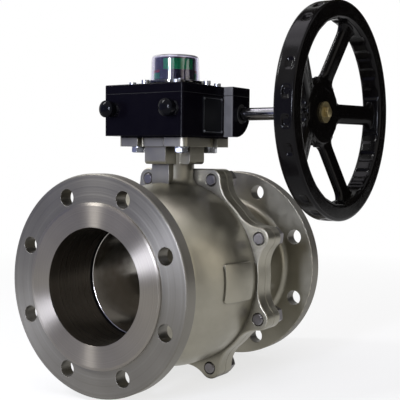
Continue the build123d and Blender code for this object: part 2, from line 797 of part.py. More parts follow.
with BuildPart() as cover_gasket:
    add(gearbox_slab(gasket_bottom_z, cover_gasket_t))
    cut_bore(2 * wheel_pocket_r, gasket_bottom_z, seam_z)
    cut_cover_screw_holes(seam_z, cover_gasket_t, screw_gap)
finish(cover_gasket, "cover_gasket")

with BuildPart() as gear_cover:
    add(gearbox_slab(seam_z, cover_t))
    fillet(gear_cover.faces().sort_by(Axis.Z)[-1].edges(), cover_edge_r)
    cut_bore(wheel_journal_d + 2 * running_gap, seam_z, wheel_journal_z + 1)
    cut_bore(indicator_shaft_d + 2 * running_gap, seam_z, cover_top_z)
    cut_cover_screw_holes(cover_top_z, cover_t, screw_gap)
    with BuildSketch(Plane.XY.offset(cover_top_z)):
        with ring_of_bolts(indicator_screw_r, 4):
            Circle(indicator_screw_d / 2 + thread_gap)
    extrude(amount=-indicator_screw_grip, mode=Mode.SUBTRACT)
finish(gear_cover, "gear_cover")

with BuildPart() as cover_screws:
    with BuildSketch(Plane.XY.offset(cover_top_z)):
        with PolarLocations(cover_screw_r, cover_screw_count, start_angle=cover_screw_start):
            Circle(cover_screw_head_d / 2)
    extrude(amount=cover_screw_head_h)
    with BuildSketch(Plane.XY.offset(cover_top_z + cover_screw_head_h)):
        with PolarLocations(cover_screw_r, cover_screw_count, start_angle=cover_screw_start):
            RegularPolygon(cover_screw_head_d * socket_share / 2, 6, major_radius=False)
    extrude(amount=-cover_screw_head_h / 2, mode=Mode.SUBTRACT)
    with BuildSketch(Plane.XY.offset(cover_top_z)):
        with PolarLocations(cover_screw_r, cover_screw_count, start_angle=cover_screw_start):
            Circle(cover_screw_d / 2)
    extrude(amount=-(cover_t + cover_screw_grip - 1))
finish(cover_screws, "cover_screws")


# Worm wheel, drawn whole with teeth that follow the worm's lead and then cut down to a quadrant
root_r = wheel_pitch_r - gear_module - root_clearance
base_r = wheel_pitch_r * cos(radians(pressure_angle))
half_tooth = pi / (2 * wheel_teeth) - flank_gap / wheel_pitch_r
tooth_pitch = 2 * pi / wheel_teeth
# a tooth leans round the wheel by as much as the worm thread climbs across the wheel's face
half_face_turn = asin(wheel_face_w / 2 / (worm_pitch_r + gear_module / 2)) * 180 / pi / wheel_teeth


def involute_of(radius):
    """Involute function of the pressure angle at a radius, in radians."""
    angle = acos(min(base_r / radius, 1))
    return tan(angle) - angle


def flank_point(radius, tooth_angle, hand):
    """Point on one flank of the tooth at an angle round the wheel, hand 1 or -1 for its two flanks."""
    angle = tooth_angle + hand * (half_tooth + involute_of(wheel_pitch_r) - involute_of(radius))
    return radius * cos(angle), radius * sin(angle)


def draw_worm_wheel():
    with BuildLine() as outline:
        for tooth in range(wheel_teeth):
            angle = tooth * tooth_pitch
            rising = [flank_point(r, angle, -1) for r in (root_r, wheel_pitch_r, wheel_tip_r)]
            falling = [flank_point(r, angle, 1) for r in (wheel_tip_r, wheel_pitch_r, root_r)]
            ThreePointArc(*rising)
            Line(rising[-1], falling[0])
            ThreePointArc(*falling)
            Line(falling[-1], flank_point(root_r, angle + tooth_pitch, -1))
    make_face(outline.edges())


with BuildPart() as worm_quadrant:
    for height, turn in ((-wheel_face_w / 2, -half_face_turn), (wheel_face_w / 2, half_face_turn)):
        with BuildSketch(Plane(origin=(0, 0, worm_z + height), x_dir=Vector(1, 0, 0).rotate(Axis.Z, turn))):
            draw_worm_wheel()
    loft(ruled=True)
    with BuildSketch(Plane.XY.offset(worm_z - wheel_face_w)):
        with Locations((-stop_face, -stop_face)):
            Rectangle(2 * wheel_tip_r, 2 * wheel_tip_r, align=(Align.MIN, Align.MIN))
    extrude(amount=2 * wheel_face_w, mode=Mode.INTERSECT)
    with BuildSketch(Plane.XY.offset(pad_top_z + hub_lift)):
        Circle(wheel_hub_d / 2)
    extrude(amount=gasket_bottom_z - pad_top_z - 2 * hub_lift)
    with BuildSketch(Plane.XY.offset(gasket_bottom_z - hub_lift)):
        Circle(wheel_journal_d / 2)
    extrude(amount=wheel_journal_z - gasket_bottom_z + hub_lift)
    with BuildSketch(Plane.XY.offset(pad_top_z)):
        RegularPolygon(drive_octagon_af / 2 + assembly_gap, 8, major_radius=False)
    extrude(amount=drive_sleeve_top_z - pad_top_z, mode=Mode.SUBTRACT)
    cut_bore(indicator_stud_d + 2 * thread_gap, drive_sleeve_top_z, wheel_journal_z)
finish(worm_quadrant, "worm_quadrant")

# Octagonal sleeve that fits the quadrant to the stem's square
with BuildPart() as drive_sleeve:
    with BuildSketch(Plane.XY.offset(pad_top_z + hub_lift)):
        RegularPolygon(drive_octagon_af / 2, 8, major_radius=False)
        Rectangle(stem_square + 2 * assembly_gap, stem_square + 2 * assembly_gap, mode=Mode.SUBTRACT)
    extrude(amount=drive_sleeve_top_z - pad_top_z - hub_lift)
finish(drive_sleeve, "drive_sleeve")

# Input shaft turned with its worm: journals, thrust collars, thread and the long end for the handwheel
worm_half_len = worm_turns * worm_lead / 2
thread_root_r = worm_pitch_r - gear_module - root_clearance


def draw_shaft_half_section():
    """Radius along the shaft from its inner end to the handwheel, as local x along +Y and y outwards."""
    with BuildLine() as outline:
        Polyline(
            (shaft_end_y, 0),
            (shaft_end_y, shaft_d / 2 - 1),
            (shaft_end_y + 1, shaft_d / 2),
            (-bush_y[1] - 1, shaft_d / 2),
            (-bush_y[1] - 1, shaft_journal_r),
            (-shaft_collar_y[1], shaft_journal_r),
            (-shaft_collar_y[1], shaft_collar_r),
            (-shaft_collar_y[0], shaft_collar_r),
            (-shaft_collar_y[0], thread_root_r),
            (shaft_collar_y[0], thread_root_r),
            (shaft_collar_y[0], shaft_collar_r),
            (shaft_collar_y[1], shaft_collar_r),
            (shaft_collar_y[1], shaft_journal_r),
            (bush_y[1] - 1, shaft_journal_r),
            (bush_y[1] - 1, 0),
            close=True,
        )
    make_face(outline.edges())


worm_start_plane = Plane(origin=(worm_x, -worm_half_len, worm_z), x_dir=(-1, 0, 0), z_dir=(0, 1, 0))
shaft_section_plane = Plane(origin=(worm_x, 0, worm_z), x_dir=(0, 1, 0), z_dir=(0, 0, 1))
with BuildPart() as worm_thread:
    slope = tan(radians(pressure_angle))
    pitch_half_w = worm_lead / 4 - flank_gap
    below = worm_pitch_r - thread_root_r + 0.5
    with BuildLine() as thread_path:
        Helix(pitch=worm_lead, height=worm_turns * worm_lead, radius=worm_pitch_r)
    with BuildSketch(Plane.XZ):
        Polygon(
            (worm_pitch_r - below, -pitch_half_w - below * slope),
            (worm_pitch_r + gear_module, -pitch_half_w + gear_module * slope),
            (worm_pitch_r + gear_module, pitch_half_w - gear_module * slope),
            (worm_pitch_r - below, pitch_half_w + below * slope),
            align=None,
        )
    sweep(path=thread_path.line, is_frenet=True)

with BuildPart() as worm_shaft:
    with BuildSketch(shaft_section_plane):
        draw_shaft_half_section()
    revolve(axis=worm_axis)
    add(worm_thread.part.moved(worm_start_plane.location))
    with BuildSketch(tunnel_plane.offset(-shaft_end_y)):
        Circle(hub_screw_d / 2 + thread_gap)
    extrude(amount=-hub_screw_len, mode=Mode.SUBTRACT)
    with BuildSketch(Plane.XY.offset(worm_z + shaft_d / 2 - key_h / 2)):
        with Locations((worm_x, key_mid_y)):
            Rectangle(key_w, key_len)
    extrude(amount=key_h, mode=Mode.SUBTRACT)
finish(worm_shaft, "worm_shaft")

# Plain bushes of the worm shaft
with BuildPart() as worm_bushes:
    for start_y in (bush_y[0], -bush_y[1]):
        with BuildSketch(tunnel_plane.offset(-start_y)):
            Circle(tunnel_r - assembly_gap)
            Circle(shaft_journal_r + running_gap, mode=Mode.SUBTRACT)
        extrude(amount=-(bush_y[1] - bush_y[0]))
finish(worm_bushes, "worm_bushes")

with BuildPart() as shaft_seal:
    with BuildSketch(tunnel_plane.offset(-boss_front_y - seal_depth)):
        Circle(seal_r - assembly_gap)
        Circle(shaft_d / 2 + running_gap, mode=Mode.SUBTRACT)
    extrude(amount=seal_t)
finish(shaft_seal, "shaft_seal")

# Cover that closes the inner end of the worm tunnel and holds its bush
with BuildPart() as end_cover:
    with BuildSketch(tunnel_plane.offset(-box_half_y)):
        Circle(end_cover_r)
    extrude(amount=-end_cover_t)
    with BuildSketch(tunnel_plane.offset(-bush_y[1])):
        Circle(tunnel_r - assembly_gap)
    extrude(amount=-(box_half_y - bush_y[1]))
    with BuildSketch(tunnel_plane.offset(-box_half_y)):
        with PolarLocations(end_screw_r, end_screw_count, start_angle=90):
            Circle(end_screw_d / 2 + screw_gap)
    extrude(amount=-end_cover_t, mode=Mode.SUBTRACT)
finish(end_cover, "end_cover")

with BuildPart() as end_cover_screws:
    with BuildSketch(tunnel_plane.offset(-box_half_y - end_cover_t)):
        with PolarLocations(end_screw_r, end_screw_count, start_angle=90):
            Circle(end_screw_head_d / 2)
    extrude(amount=-end_screw_head_h)
    with BuildSketch(tunnel_plane.offset(-box_half_y - end_cover_t - end_screw_head_h)):
        with PolarLocations(end_screw_r, end_screw_count, start_angle=90):
            RegularPolygon(end_screw_head_d * socket_share / 2, 6, major_radius=False)
    extrude(amount=end_screw_head_h / 2, mode=Mode.SUBTRACT)
    with BuildSketch(tunnel_plane.offset(-box_half_y - end_cover_t)):
        with PolarLocations(end_screw_r, end_screw_count, start_angle=90):
            Circle(end_screw_d / 2)
    extrude(amount=end_cover_t + end_screw_grip - 1)
finish(end_cover_screws, "end_cover_screws")


def stop_places():
    """The two stop screws, side by side at one height."""
    return Locations((-stop_y, stop_z), (stop_y, stop_z))


# Stop shoes that meet the quadrant's stop faces, moved by the stop screws
shoe_face_x = -stop_face - travel_gap
with BuildPart() as stop_shoes:
    with BuildSketch(Plane.YZ.offset(shoe_face_x)):
        with Locations((-shoe_mid_y, stop_z), (shoe_mid_y, stop_z)):
            RectangleRounded(stop_shoe_w, stop_shoe_h, stop_shoe_corner_r)
    extrude(amount=-stop_shoe_t)
    with BuildSketch(Plane.YZ.offset(shoe_face_x - stop_shoe_t)):
        with stop_places():
            Circle(stop_screw_d / 2 + assembly_gap)
    extrude(amount=stop_socket_depth, mode=Mode.SUBTRACT)
finish(stop_shoes, "stop_shoes")

with BuildPart() as stop_screws:
    with BuildSketch(Plane.YZ.offset(stop_screw_end_x)):
        with stop_places():
            Circle(stop_screw_d / 2)
    extrude(amount=shoe_face_x - stop_shoe_t + stop_socket_depth - stop_screw_end_x)
finish(stop_screws, "stop_screws")

with BuildPart() as stop_lock_nuts:
    with BuildSketch(Plane.YZ.offset(box_x[0])):
        with stop_places():
            RegularPolygon(stop_nut_af / 2, 6, major_radius=False)
            Circle(stop_screw_d / 2 + thread_gap, mode=Mode.SUBTRACT)
    extrude(amount=-stop_nut_h)
finish(stop_lock_nuts, "stop_lock_nuts")

# Domed caps over the stop screws, each with a narrower neck
cap_start_x = box_x[0] - stop_nut_h
cap_end_x = cap_start_x - stop_cap_neck_len - stop_cap_head_len
with BuildPart() as stop_caps:
    for cap_y in (-stop_y, stop_y):
        cap_axis = Axis((0, cap_y, stop_z), (1, 0, 0))
        with BuildSketch(Plane(origin=(0, cap_y, stop_z), x_dir=(1, 0, 0), z_dir=(0, -1, 0))):
            with BuildLine():
                Polyline(
                    (cap_end_x, 0),
                    (stop_screw_end_x - 1, 0),
                    (stop_screw_end_x - 1, stop_screw_d / 2 + assembly_gap),
                    (cap_start_x, stop_screw_d / 2 + assembly_gap),
                    (cap_start_x, stop_cap_neck_d / 2),
                    (cap_start_x - stop_cap_neck_len, stop_cap_neck_d / 2),
                    (cap_start_x - stop_cap_neck_len, stop_cap_d / 2),
                    (cap_end_x + stop_cap_dome, stop_cap_d / 2),
                )
                TangentArc((cap_end_x, 0), (cap_end_x + stop_cap_dome, stop_cap_d / 2), tangent=(0, 1))
            make_face()
        revolve(axis=cap_axis)
finish(stop_caps, "stop_caps")

# Position indicator: shaft screwed into the quadrant, base, drum with four panels, clear dome and its screws
with BuildPart() as indicator_shaft:
    with BuildSketch(Plane.XY.offset(wheel_journal_z)):
        Circle(indicator_shaft_d / 2)
    extrude(amount=drum_z - wheel_journal_z)
    with BuildSketch(Plane.XY.offset(drive_sleeve_top_z)):
        Circle(indicator_stud_d / 2)
    extrude(amount=wheel_journal_z - drive_sleeve_top_z)
finish(indicator_shaft, "indicator_shaft")

with BuildPart() as indicator_base:
    with BuildSketch(Plane.XY.offset(cover_top_z)):
        Circle(indicator_base_r)
        Circle(indicator_shaft_d / 2 + running_gap, mode=Mode.SUBTRACT)
        with ring_of_bolts(indicator_screw_r, 4):
            Circle(indicator_screw_d / 2 + assembly_gap, mode=Mode.SUBTRACT)
    extrude(amount=indicator_base_t)
finish(indicator_base, "indicator_base")

with BuildPart() as indicator_drum:
    with BuildSketch(Plane.XZ):
        Polygon(
            (0, drum_z),
            (indicator_shaft_d / 2, drum_z),
            (indicator_shaft_d / 2, drum_top_z - drum_wall),
            (drum_r - drum_wall, drum_top_z - drum_wall),
            (drum_r - drum_wall, drum_z),
            (drum_r, drum_z),
            (drum_r, drum_top_z),
            (0, drum_top_z),
            align=None,
        )
    revolve(axis=Axis.Z)
finish(indicator_drum, "indicator_drum")


def add_panels(start_angle, half_angle, drop):
    """Two opposite curved panels on the drum, between two depths below its top."""
    for centre in (start_angle, start_angle + 180):
        with BuildLine() as outline:
            inner = CenterArc((0, 0), drum_r, centre - half_angle, 2 * half_angle)
            outer = CenterArc((0, 0), drum_r + panel_t, centre - half_angle, 2 * half_angle)
            Line(inner @ 0, outer @ 0)
            Line(inner @ 1, outer @ 1)
        with BuildSketch(Plane.XY.offset(drum_top_z - drop[0])) as panel:
            make_face(outline.edges())
        extrude(panel.sketch, amount=drop[0] - drop[1])


with BuildPart() as indicator_open_panels:
    add_panels(45, open_half_angle, open_panel_drop)
    add_panels(135, side_half_angle, side_panel_drop)
finish(indicator_open_panels, "indicator_open_panels")

with BuildPart() as indicator_shut_panels:
    add_panels(135, side_half_angle, shut_panel_drop)
finish(indicator_shut_panels, "indicator_shut_panels")

with BuildPart() as indicator_dome:
    with BuildSketch(Plane.XZ) as dome_section:
        with BuildLine():
            Polyline(
                (0, dome_top_z),
                (dome_top_r, dome_top_z),
                (dome_foot_d / 2, dome_base_z + dome_flange_t),
                (indicator_base_r, dome_base_z + dome_flange_t),
                (indicator_base_r, dome_base_z),
                (dome_foot_d / 2 - dome_wall, dome_base_z),
                (dome_top_r - dome_wall, dome_top_z - dome_wall),
                (0, dome_top_z - dome_wall),
                close=True,
            )
        make_face()
        shoulder = [v for v in dome_section.vertices() if abs(v.X - dome_top_r) < 0.01]
        fillet(shoulder, dome_edge_r)
        inner_shoulder = [v for v in dome_section.vertices() if abs(v.X - dome_top_r + dome_wall) < 0.01]
        fillet(inner_shoulder, dome_edge_r - dome_wall)
    revolve(axis=Axis.Z)
    with BuildSketch(Plane.XY.offset(dome_base_z)):
        with ring_of_bolts(indicator_screw_r, 4):
            Circle(indicator_screw_d / 2 + assembly_gap)
    extrude(amount=dome_flange_t, mode=Mode.SUBTRACT)
finish(indicator_dome, "indicator_dome")

with BuildPart() as indicator_screws:
    with BuildSketch(Plane.XY.offset(dome_base_z + dome_flange_t)):
        with ring_of_bolts(indicator_screw_r, 4):
            Circle(indicator_screw_head_d / 2)
    extrude(amount=indicator_screw_head_h)
    with BuildSketch(Plane.XY.offset(dome_base_z + dome_flange_t)):
        with ring_of_bolts(indicator_screw_r, 4):
            Circle(indicator_screw_d / 2)
    extrude(amount=-(dome_flange_t + indicator_base_t + indicator_screw_grip - 1))
finish(indicator_screws, "indicator_screws")

# Bare nameplate held by four drive pins
plate_mid = ((plate_x[0] + plate_x[1]) / 2, box_bottom_z + plate_rise + plate_h / 2)
plate_w = plate_x[1] - plate_x[0]


def pin_places():
    return GridLocations(plate_w - 2 * plate_pin_inset, plate_h - 2 * plate_pin_inset, 2, 2)


with BuildPart() as nameplate:
    with BuildSketch(Plane.XZ.offset(box_half_y)):
        with Locations(plate_mid):
            RectangleRounded(plate_w, plate_h, plate_corner_r)
            with pin_places():
                Circle(plate_pin_d / 2 + assembly_gap, mode=Mode.SUBTRACT)
    extrude(amount=plate_t)
finish(nameplate, "nameplate")

with BuildPart() as nameplate_pins:
    with BuildSketch(Plane.XZ.offset(box_half_y + plate_t)):
        with Locations(plate_mid):
            with pin_places():
                Circle(plate_pin_head_d / 2)
    extrude(amount=plate_pin_head_h)
    with BuildSketch(Plane.XZ.offset(box_half_y)):
        with Locations(plate_mid):
            with pin_places():
                Circle(plate_pin_d / 2)
    extrude(amount=plate_t)
finish(nameplate_pins, "nameplate_pins")

# Handwheel: rim with finger grips, straight spokes that slope back to the hub, and a keyed boss behind it
rim_mid_r = (wheel_d - rim_w) / 2
rim_inside_r = wheel_d / 2 - rim_w
gap_angle = 360 / spoke_count
with BuildPart(tunnel_plane.offset(-thumb_dent_y)) as grips:
    for gap in range(spoke_count):
        first_grip = (gap + 0.5) * gap_angle - (grip_count - 1) / 2 * grip_pitch
        sweep_angle = grip_count * grip_pitch
        with PolarLocations(wheel_d / 2 - grip_depth + thumb_dent_r, grip_count, first_grip, sweep_angle):
            Sphere(thumb_dent_r)
        with PolarLocations(rim_inside_r + grip_depth - finger_dent_r, grip_count, first_grip, sweep_angle):
            Cylinder(finger_dent_r, 2 * rim_w)

with BuildPart() as spokes:
    with BuildSketch(tunnel_plane.offset(-hub_boss_y)) as spoke_outline:
        Circle(rim_mid_r)
        Circle(rim_inside_r + 1.5 * grip_depth, mode=Mode.SUBTRACT)
        Circle(hub_d / 2)
        with PolarLocations(rim_mid_r / 2, spoke_count):
            Rectangle(rim_mid_r - 1, spoke_w)
        roots = [v for v in spoke_outline.vertices() if spoke_w < v.center().length < hub_d / 2 + 1]
        fillet(roots, spoke_root_r)
        ends = [v for v in spoke_outline.vertices() if rim_inside_r < v.center().length < rim_mid_r - 1]
        fillet(ends, spoke_end_r)
    extrude(amount=hub_boss_y - rim_y[0])
    with BuildSketch(shaft_section_plane):
        Polygon(
            (hub_y[0], 0),
            (hub_y[0], hub_d / 2),
            (hub_y[0] - spoke_rise, rim_mid_r),
            (hub_y[1] - spoke_rise, rim_mid_r),
            (hub_y[1], hub_d / 2),
            (hub_y[1], 0),
            align=None,
        )
    revolve(axis=worm_axis, mode=Mode.INTERSECT)

with BuildPart() as handwheel:
    with BuildSketch(shaft_section_plane) as rim_section:
        with Locations(((rim_y[0] + rim_y[1]) / 2, rim_mid_r)):
            Rectangle(rim_y[1] - rim_y[0], rim_w)
        outside = rim_section.vertices().group_by(Axis.Y)[-1].sort_by(Axis.X)
        inside = rim_section.vertices().group_by(Axis.Y)[0]
        fillet(outside[0], rim_front_edge_r)
        fillet(outside[-1], rim_back_edge_r)
        fillet(inside, rim_inside_edge_r)
    revolve(axis=worm_axis)
    add(grips.part, mode=Mode.SUBTRACT)
    add(spokes.part)
    with BuildSketch(tunnel_plane.offset(-hub_boss_y)):
        Circle(hub_boss_d / 2)
    extrude(amount=hub_boss_y - hub_y[1])
    with BuildSketch(tunnel_plane.offset(-hub_boss_y)):
        Circle(shaft_d / 2 + assembly_gap)
        with Locations((0, shaft_d / 2)):
            Rectangle(key_w + 2 * assembly_gap, key_h + 2 * assembly_gap)
    extrude(amount=hub_boss_y - hub_y[0], mode=Mode.SUBTRACT)
finish(handwheel, "handwheel")

with BuildPart() as handwheel_key:
    with BuildSketch(Plane.XY.offset(worm_z + shaft_d / 2 - key_h / 2)):
        with Locations((worm_x, key_mid_y)):
            Rectangle(key_w, key_len)
    extrude(amount=key_h)
finish(handwheel_key, "handwheel_key")

with BuildPart() as hub_washer:
    with BuildSketch(tunnel_plane.offset(-hub_y[0])):
        Circle(hub_washer_d / 2)
        Circle(hub_screw_d / 2 + assembly_gap, mode=Mode.SUBTRACT)
    extrude(amount=hub_washer_t)
finish(hub_washer, "hub_washer")

with BuildPart() as hub_screw:
    with BuildSketch(tunnel_plane.offset(-hub_y[0] + hub_washer_t)):
        RegularPolygon(hub_screw_head_af / 2, 6, major_radius=False)
    extrude(amount=hub_screw_head_h)
    with BuildSketch(tunnel_plane.offset(-hub_y[0] + hub_washer_t)):
        Circle(hub_screw_d / 2)
    extrude(amount=-hub_screw_len)
finish(hub_screw, "hub_screw")
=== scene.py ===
import math
import bpy
import numpy as np
from mathutils import Matrix, Vector


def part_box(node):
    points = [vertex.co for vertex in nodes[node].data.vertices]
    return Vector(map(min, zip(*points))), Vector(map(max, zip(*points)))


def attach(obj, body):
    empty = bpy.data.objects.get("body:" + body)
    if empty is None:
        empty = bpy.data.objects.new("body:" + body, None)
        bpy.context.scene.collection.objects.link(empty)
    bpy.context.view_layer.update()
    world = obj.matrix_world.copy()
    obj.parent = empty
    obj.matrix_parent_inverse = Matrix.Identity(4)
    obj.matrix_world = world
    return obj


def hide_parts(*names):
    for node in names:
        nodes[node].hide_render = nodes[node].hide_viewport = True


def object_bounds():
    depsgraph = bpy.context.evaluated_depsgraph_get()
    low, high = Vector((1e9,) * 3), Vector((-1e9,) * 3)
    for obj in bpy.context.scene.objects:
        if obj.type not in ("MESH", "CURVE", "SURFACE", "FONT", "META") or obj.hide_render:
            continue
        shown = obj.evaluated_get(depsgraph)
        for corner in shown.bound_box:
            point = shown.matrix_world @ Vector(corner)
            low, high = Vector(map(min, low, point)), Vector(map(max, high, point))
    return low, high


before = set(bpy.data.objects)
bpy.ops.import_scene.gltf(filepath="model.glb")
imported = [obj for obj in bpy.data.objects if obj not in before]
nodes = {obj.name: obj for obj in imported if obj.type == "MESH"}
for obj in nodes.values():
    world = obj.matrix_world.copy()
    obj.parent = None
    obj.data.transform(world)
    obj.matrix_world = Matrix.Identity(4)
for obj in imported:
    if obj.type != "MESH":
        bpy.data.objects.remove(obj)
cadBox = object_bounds()
print("valve loaded:", len(nodes), "pieces")

scene = bpy.context.scene
scene.view_settings.view_transform = "Standard"


def linearColour(hexValue):
    # sRGB hex to the linear red, green, blue and alpha that Blender works in
    channels = [int(hexValue[i:i + 2], 16) / 255 for i in (1, 3, 5)]
    linear = [value / 12.92 if value <= 0.04045 else ((value + 0.055) / 1.055) ** 2.4 for value in channels]
    return (*linear, 1.0)


def setInputs(tree, node, links):
    # each input gets a value, or a link from another node's output
    for socket, source in links.items():
        if isinstance(source, bpy.types.NodeSocket):
            tree.links.new(source, node.inputs[socket])
        else:
            node.inputs[socket].default_value = source


def addNode(tree, kind, links=None, **settings):
    # one node: settings are its attributes, links maps each input to a value or to another node's output
    node = tree.nodes.new(kind)
    for name, value in settings.items():
        setattr(node, name, value)
    setInputs(tree, node, links or {})
    return node


def emptyTree(owner):
    # a new material or world works with nodes, and starts with none
    owner.use_nodes = True
    owner.node_tree.nodes.clear()
    return owner.node_tree


def startMaterial(name):
    # an empty material: its tree, its shader and the place on the object
    material = bpy.data.materials.new(name)
    tree = emptyTree(material)
    surface = addNode(tree, "ShaderNodeBsdfPrincipled")
    addNode(tree, "ShaderNodeOutputMaterial", {"Surface": surface.outputs["BSDF"]})
    place = addNode(tree, "ShaderNodeTexCoord").outputs["Object"]
    return material, tree, surface, place


# Most values of a noise texture lie in this range
noiseRange = {"From Min": 0.3, "From Max": 0.7}

castSettings = {
    "dark": "#7B786D", "light": "#9C988B", "cloudMm": 45.0,
    # painted shade in corners and creases: its dark colour, its reach in mm and the occlusion range over
    # which it fades
    "paintedCornerShade": "#2E2A22", "cornerShadeMm": 11.0, "cornerShadeRange": (0.25, 0.90),
    "rough": (0.36, 0.44), "patchMm": 14.0,
    "pebbleMm": 1.5, "depthMm": 0.03, "edgeMm": 1.0,
}


def makeCastStainless(look=castSettings):
    # stainless steel, investment cast and bead blasted: a soft grey shine, fine dimples, painted shade in the
    # corners
    material, tree, surface, place = startMaterial("stainless_steel_bead_blasted")
    clouds = addNode(
        tree, "ShaderNodeTexNoise", {"Vector": place, "Scale": 1000 / look["cloudMm"], "Detail": 4.0}
    )
    tone = addNode(
        tree,
        "ShaderNodeMix",
        {0: clouds.outputs["Fac"], 6: linearColour(look["dark"]), 7: linearColour(look["light"])},
        data_type="RGBA",
    )
    # painted shade: ambient occlusion darkens the colour towards a dark brown in corners, creases and
    # recesses
    openness = addNode(tree, "ShaderNodeAmbientOcclusion", {"Distance": look["cornerShadeMm"] / 1000}, samples=4)
    unshadedShare = addNode(
        tree,
        "ShaderNodeMapRange",
        {
            "Value": openness.outputs["AO"],
            "From Min": look["cornerShadeRange"][0], "From Max": look["cornerShadeRange"][1],
        },
    )
    colour = addNode(
        tree,
        "ShaderNodeMix",
        {0: unshadedShare.outputs["Result"], 6: linearColour(look["paintedCornerShade"]), 7: tone.outputs[2]},
        data_type="RGBA",
    )
    patches = addNode(
        tree, "ShaderNodeTexNoise", {"Vector": place, "Scale": 1000 / look["patchMm"], "Detail": 2.0}
    )
    shine = addNode(
        tree,
        "ShaderNodeMapRange",
        {
            "Value": patches.outputs["Fac"], **noiseRange,
            "To Min": look["rough"][0], "To Max": look["rough"][1],
        },
    )
    # the real dimples are 0.2 mm across, drawn wider so that they show, on edges that catch the light
    pebbles = addNode(
        tree, "ShaderNodeTexNoise", {"Vector": place, "Scale": 1000 / look["pebbleMm"], "Detail": 2.0}
    )
    edge = addNode(tree, "ShaderNodeBevel", {"Radius": look["edgeMm"] / 1000}, samples=4)
    dimples = addNode(
        tree,
        "ShaderNodeBump",
        {
            "Height": pebbles.outputs["Fac"], "Distance": look["depthMm"] / 1000,
            "Normal": edge.outputs["Normal"],
        },
    )
    setInputs(tree, surface, {
        "Base Color": colour.outputs[2],
        "Roughness": shine.outputs["Result"],
        "Normal": dimples.outputs["Normal"],
        "Metallic": 1.0,
    })
    return material


turnedSettings = {
    "stainless_steel_faced_fine": {
        "dark": "#6C675E", "light": "#96918A", "rough": (0.35, 0.43), "stretch": 1.0,
        "bandMm": 1.4, "depthMm": 0.002, "edgeMm": 1.0, "chamferMm": 102.5, "chamferSlope": 0.40,
    },
    "stainless_steel_faced_matt": {
        "dark": "#5E5B54", "light": "#84817A", "rough": (0.40, 0.50), "stretch": 0.70,
        "bandMm": 3.0, "depthMm": 0.003, "edgeMm": 1.3, "chamferMm": 140.8, "chamferSlope": 0.45,
    },
    "stainless_steel_bored": {
        "dark": "#4B453D", "light": "#6E675D", "rough": (0.26, 0.34), "stretch": 0.6,
        "bandMm": 2.2, "depthMm": 0.003, "edgeMm": 0.8, "chamferMm": 200.0, "chamferSlope": 0.0,
    },
}


def makeTurnedStainless(name, look, stainsPerMetre=18.0, stainShare=0.45, alongBore=0.1):
    # stainless steel cut on a lathe: fine rings of tool marks that spread each highlight into a fan
    material, tree, surface, place = startMaterial(name)
    parts = addNode(tree, "ShaderNodeSeparateXYZ", {"Vector": place})
    across = addNode(tree, "ShaderNodeCombineXYZ", {"Y": parts.outputs["Y"], "Z": parts.outputs["Z"]})
    radius = addNode(tree, "ShaderNodeVectorMath", {0: across.outputs["Vector"]}, operation="LENGTH")
    # the cutter moves along the radius on a face and along X in the bore, so their sum counts its turns
    feed = addNode(
        tree, "ShaderNodeMath", {0: radius.outputs["Value"], 1: parts.outputs["X"]}, operation="ADD"
    )
    rings = addNode(
        tree,
        "ShaderNodeTexNoise",
        {"W": feed.outputs["Value"], "Scale": 1000 / look["bandMm"], "Detail": 3.0},
        noise_dimensions="1D",
    )
    stains = addNode(tree, "ShaderNodeTexNoise", {"Vector": place, "Scale": stainsPerMetre, "Detail": 2.0})
    mixed = addNode(
        tree,
        "ShaderNodeMix",
        {0: stainShare, 2: rings.outputs["Fac"], 3: stains.outputs["Fac"]},
        data_type="FLOAT",
    )
    tone = addNode(
        tree,
        "ShaderNodeMix",
        {0: mixed.outputs[0], 6: linearColour(look["dark"]), 7: linearColour(look["light"])},
        data_type="RGBA",
    )
    shine = addNode(
        tree,
        "ShaderNodeMapRange",
        {
            "Value": rings.outputs["Fac"], **noiseRange,
            "To Min": look["rough"][0], "To Max": look["rough"][1],
        },
    )
    # the face falls away past the chamfer's radius, as a cone that takes the corner off
    past = addNode(
        tree,
        "ShaderNodeMath",
        {0: look["chamferMm"] / 1000, 1: radius.outputs["Value"]},
        operation="SUBTRACT",
    )
    fall = addNode(tree, "ShaderNodeMath", {0: past.outputs["Value"], 1: 0.0}, operation="MINIMUM")
    edge = addNode(tree, "ShaderNodeBevel", {"Radius": look["edgeMm"] / 1000}, samples=4)
    cone = addNode(
        tree,
        "ShaderNodeBump",
        {"Height": fall.outputs["Value"], "Distance": look["chamferSlope"], "Normal": edge.outputs["Normal"]},
    )
    marks = addNode(
        tree,
        "ShaderNodeBump",
        {
            "Height": rings.outputs["Fac"], "Distance": look["depthMm"] / 1000,
            "Normal": cone.outputs["Normal"],
        },
    )
    # a highlight spreads across the tool marks: along the radius on a face, along X in the bore
    spreadWay = addNode(
        tree, "ShaderNodeCombineXYZ", {"X": alongBore, "Y": parts.outputs["Y"], "Z": parts.outputs["Z"]}
    )
    setInputs(tree, surface, {
        "Base Color": tone.outputs[2],
        "Roughness": shine.outputs["Result"],
        "Normal": marks.outputs["Normal"],
        "Tangent": spreadWay.outputs["Vector"],
        "Anisotropic": look["stretch"],
        "Metallic": 1.0,
    })
    return material


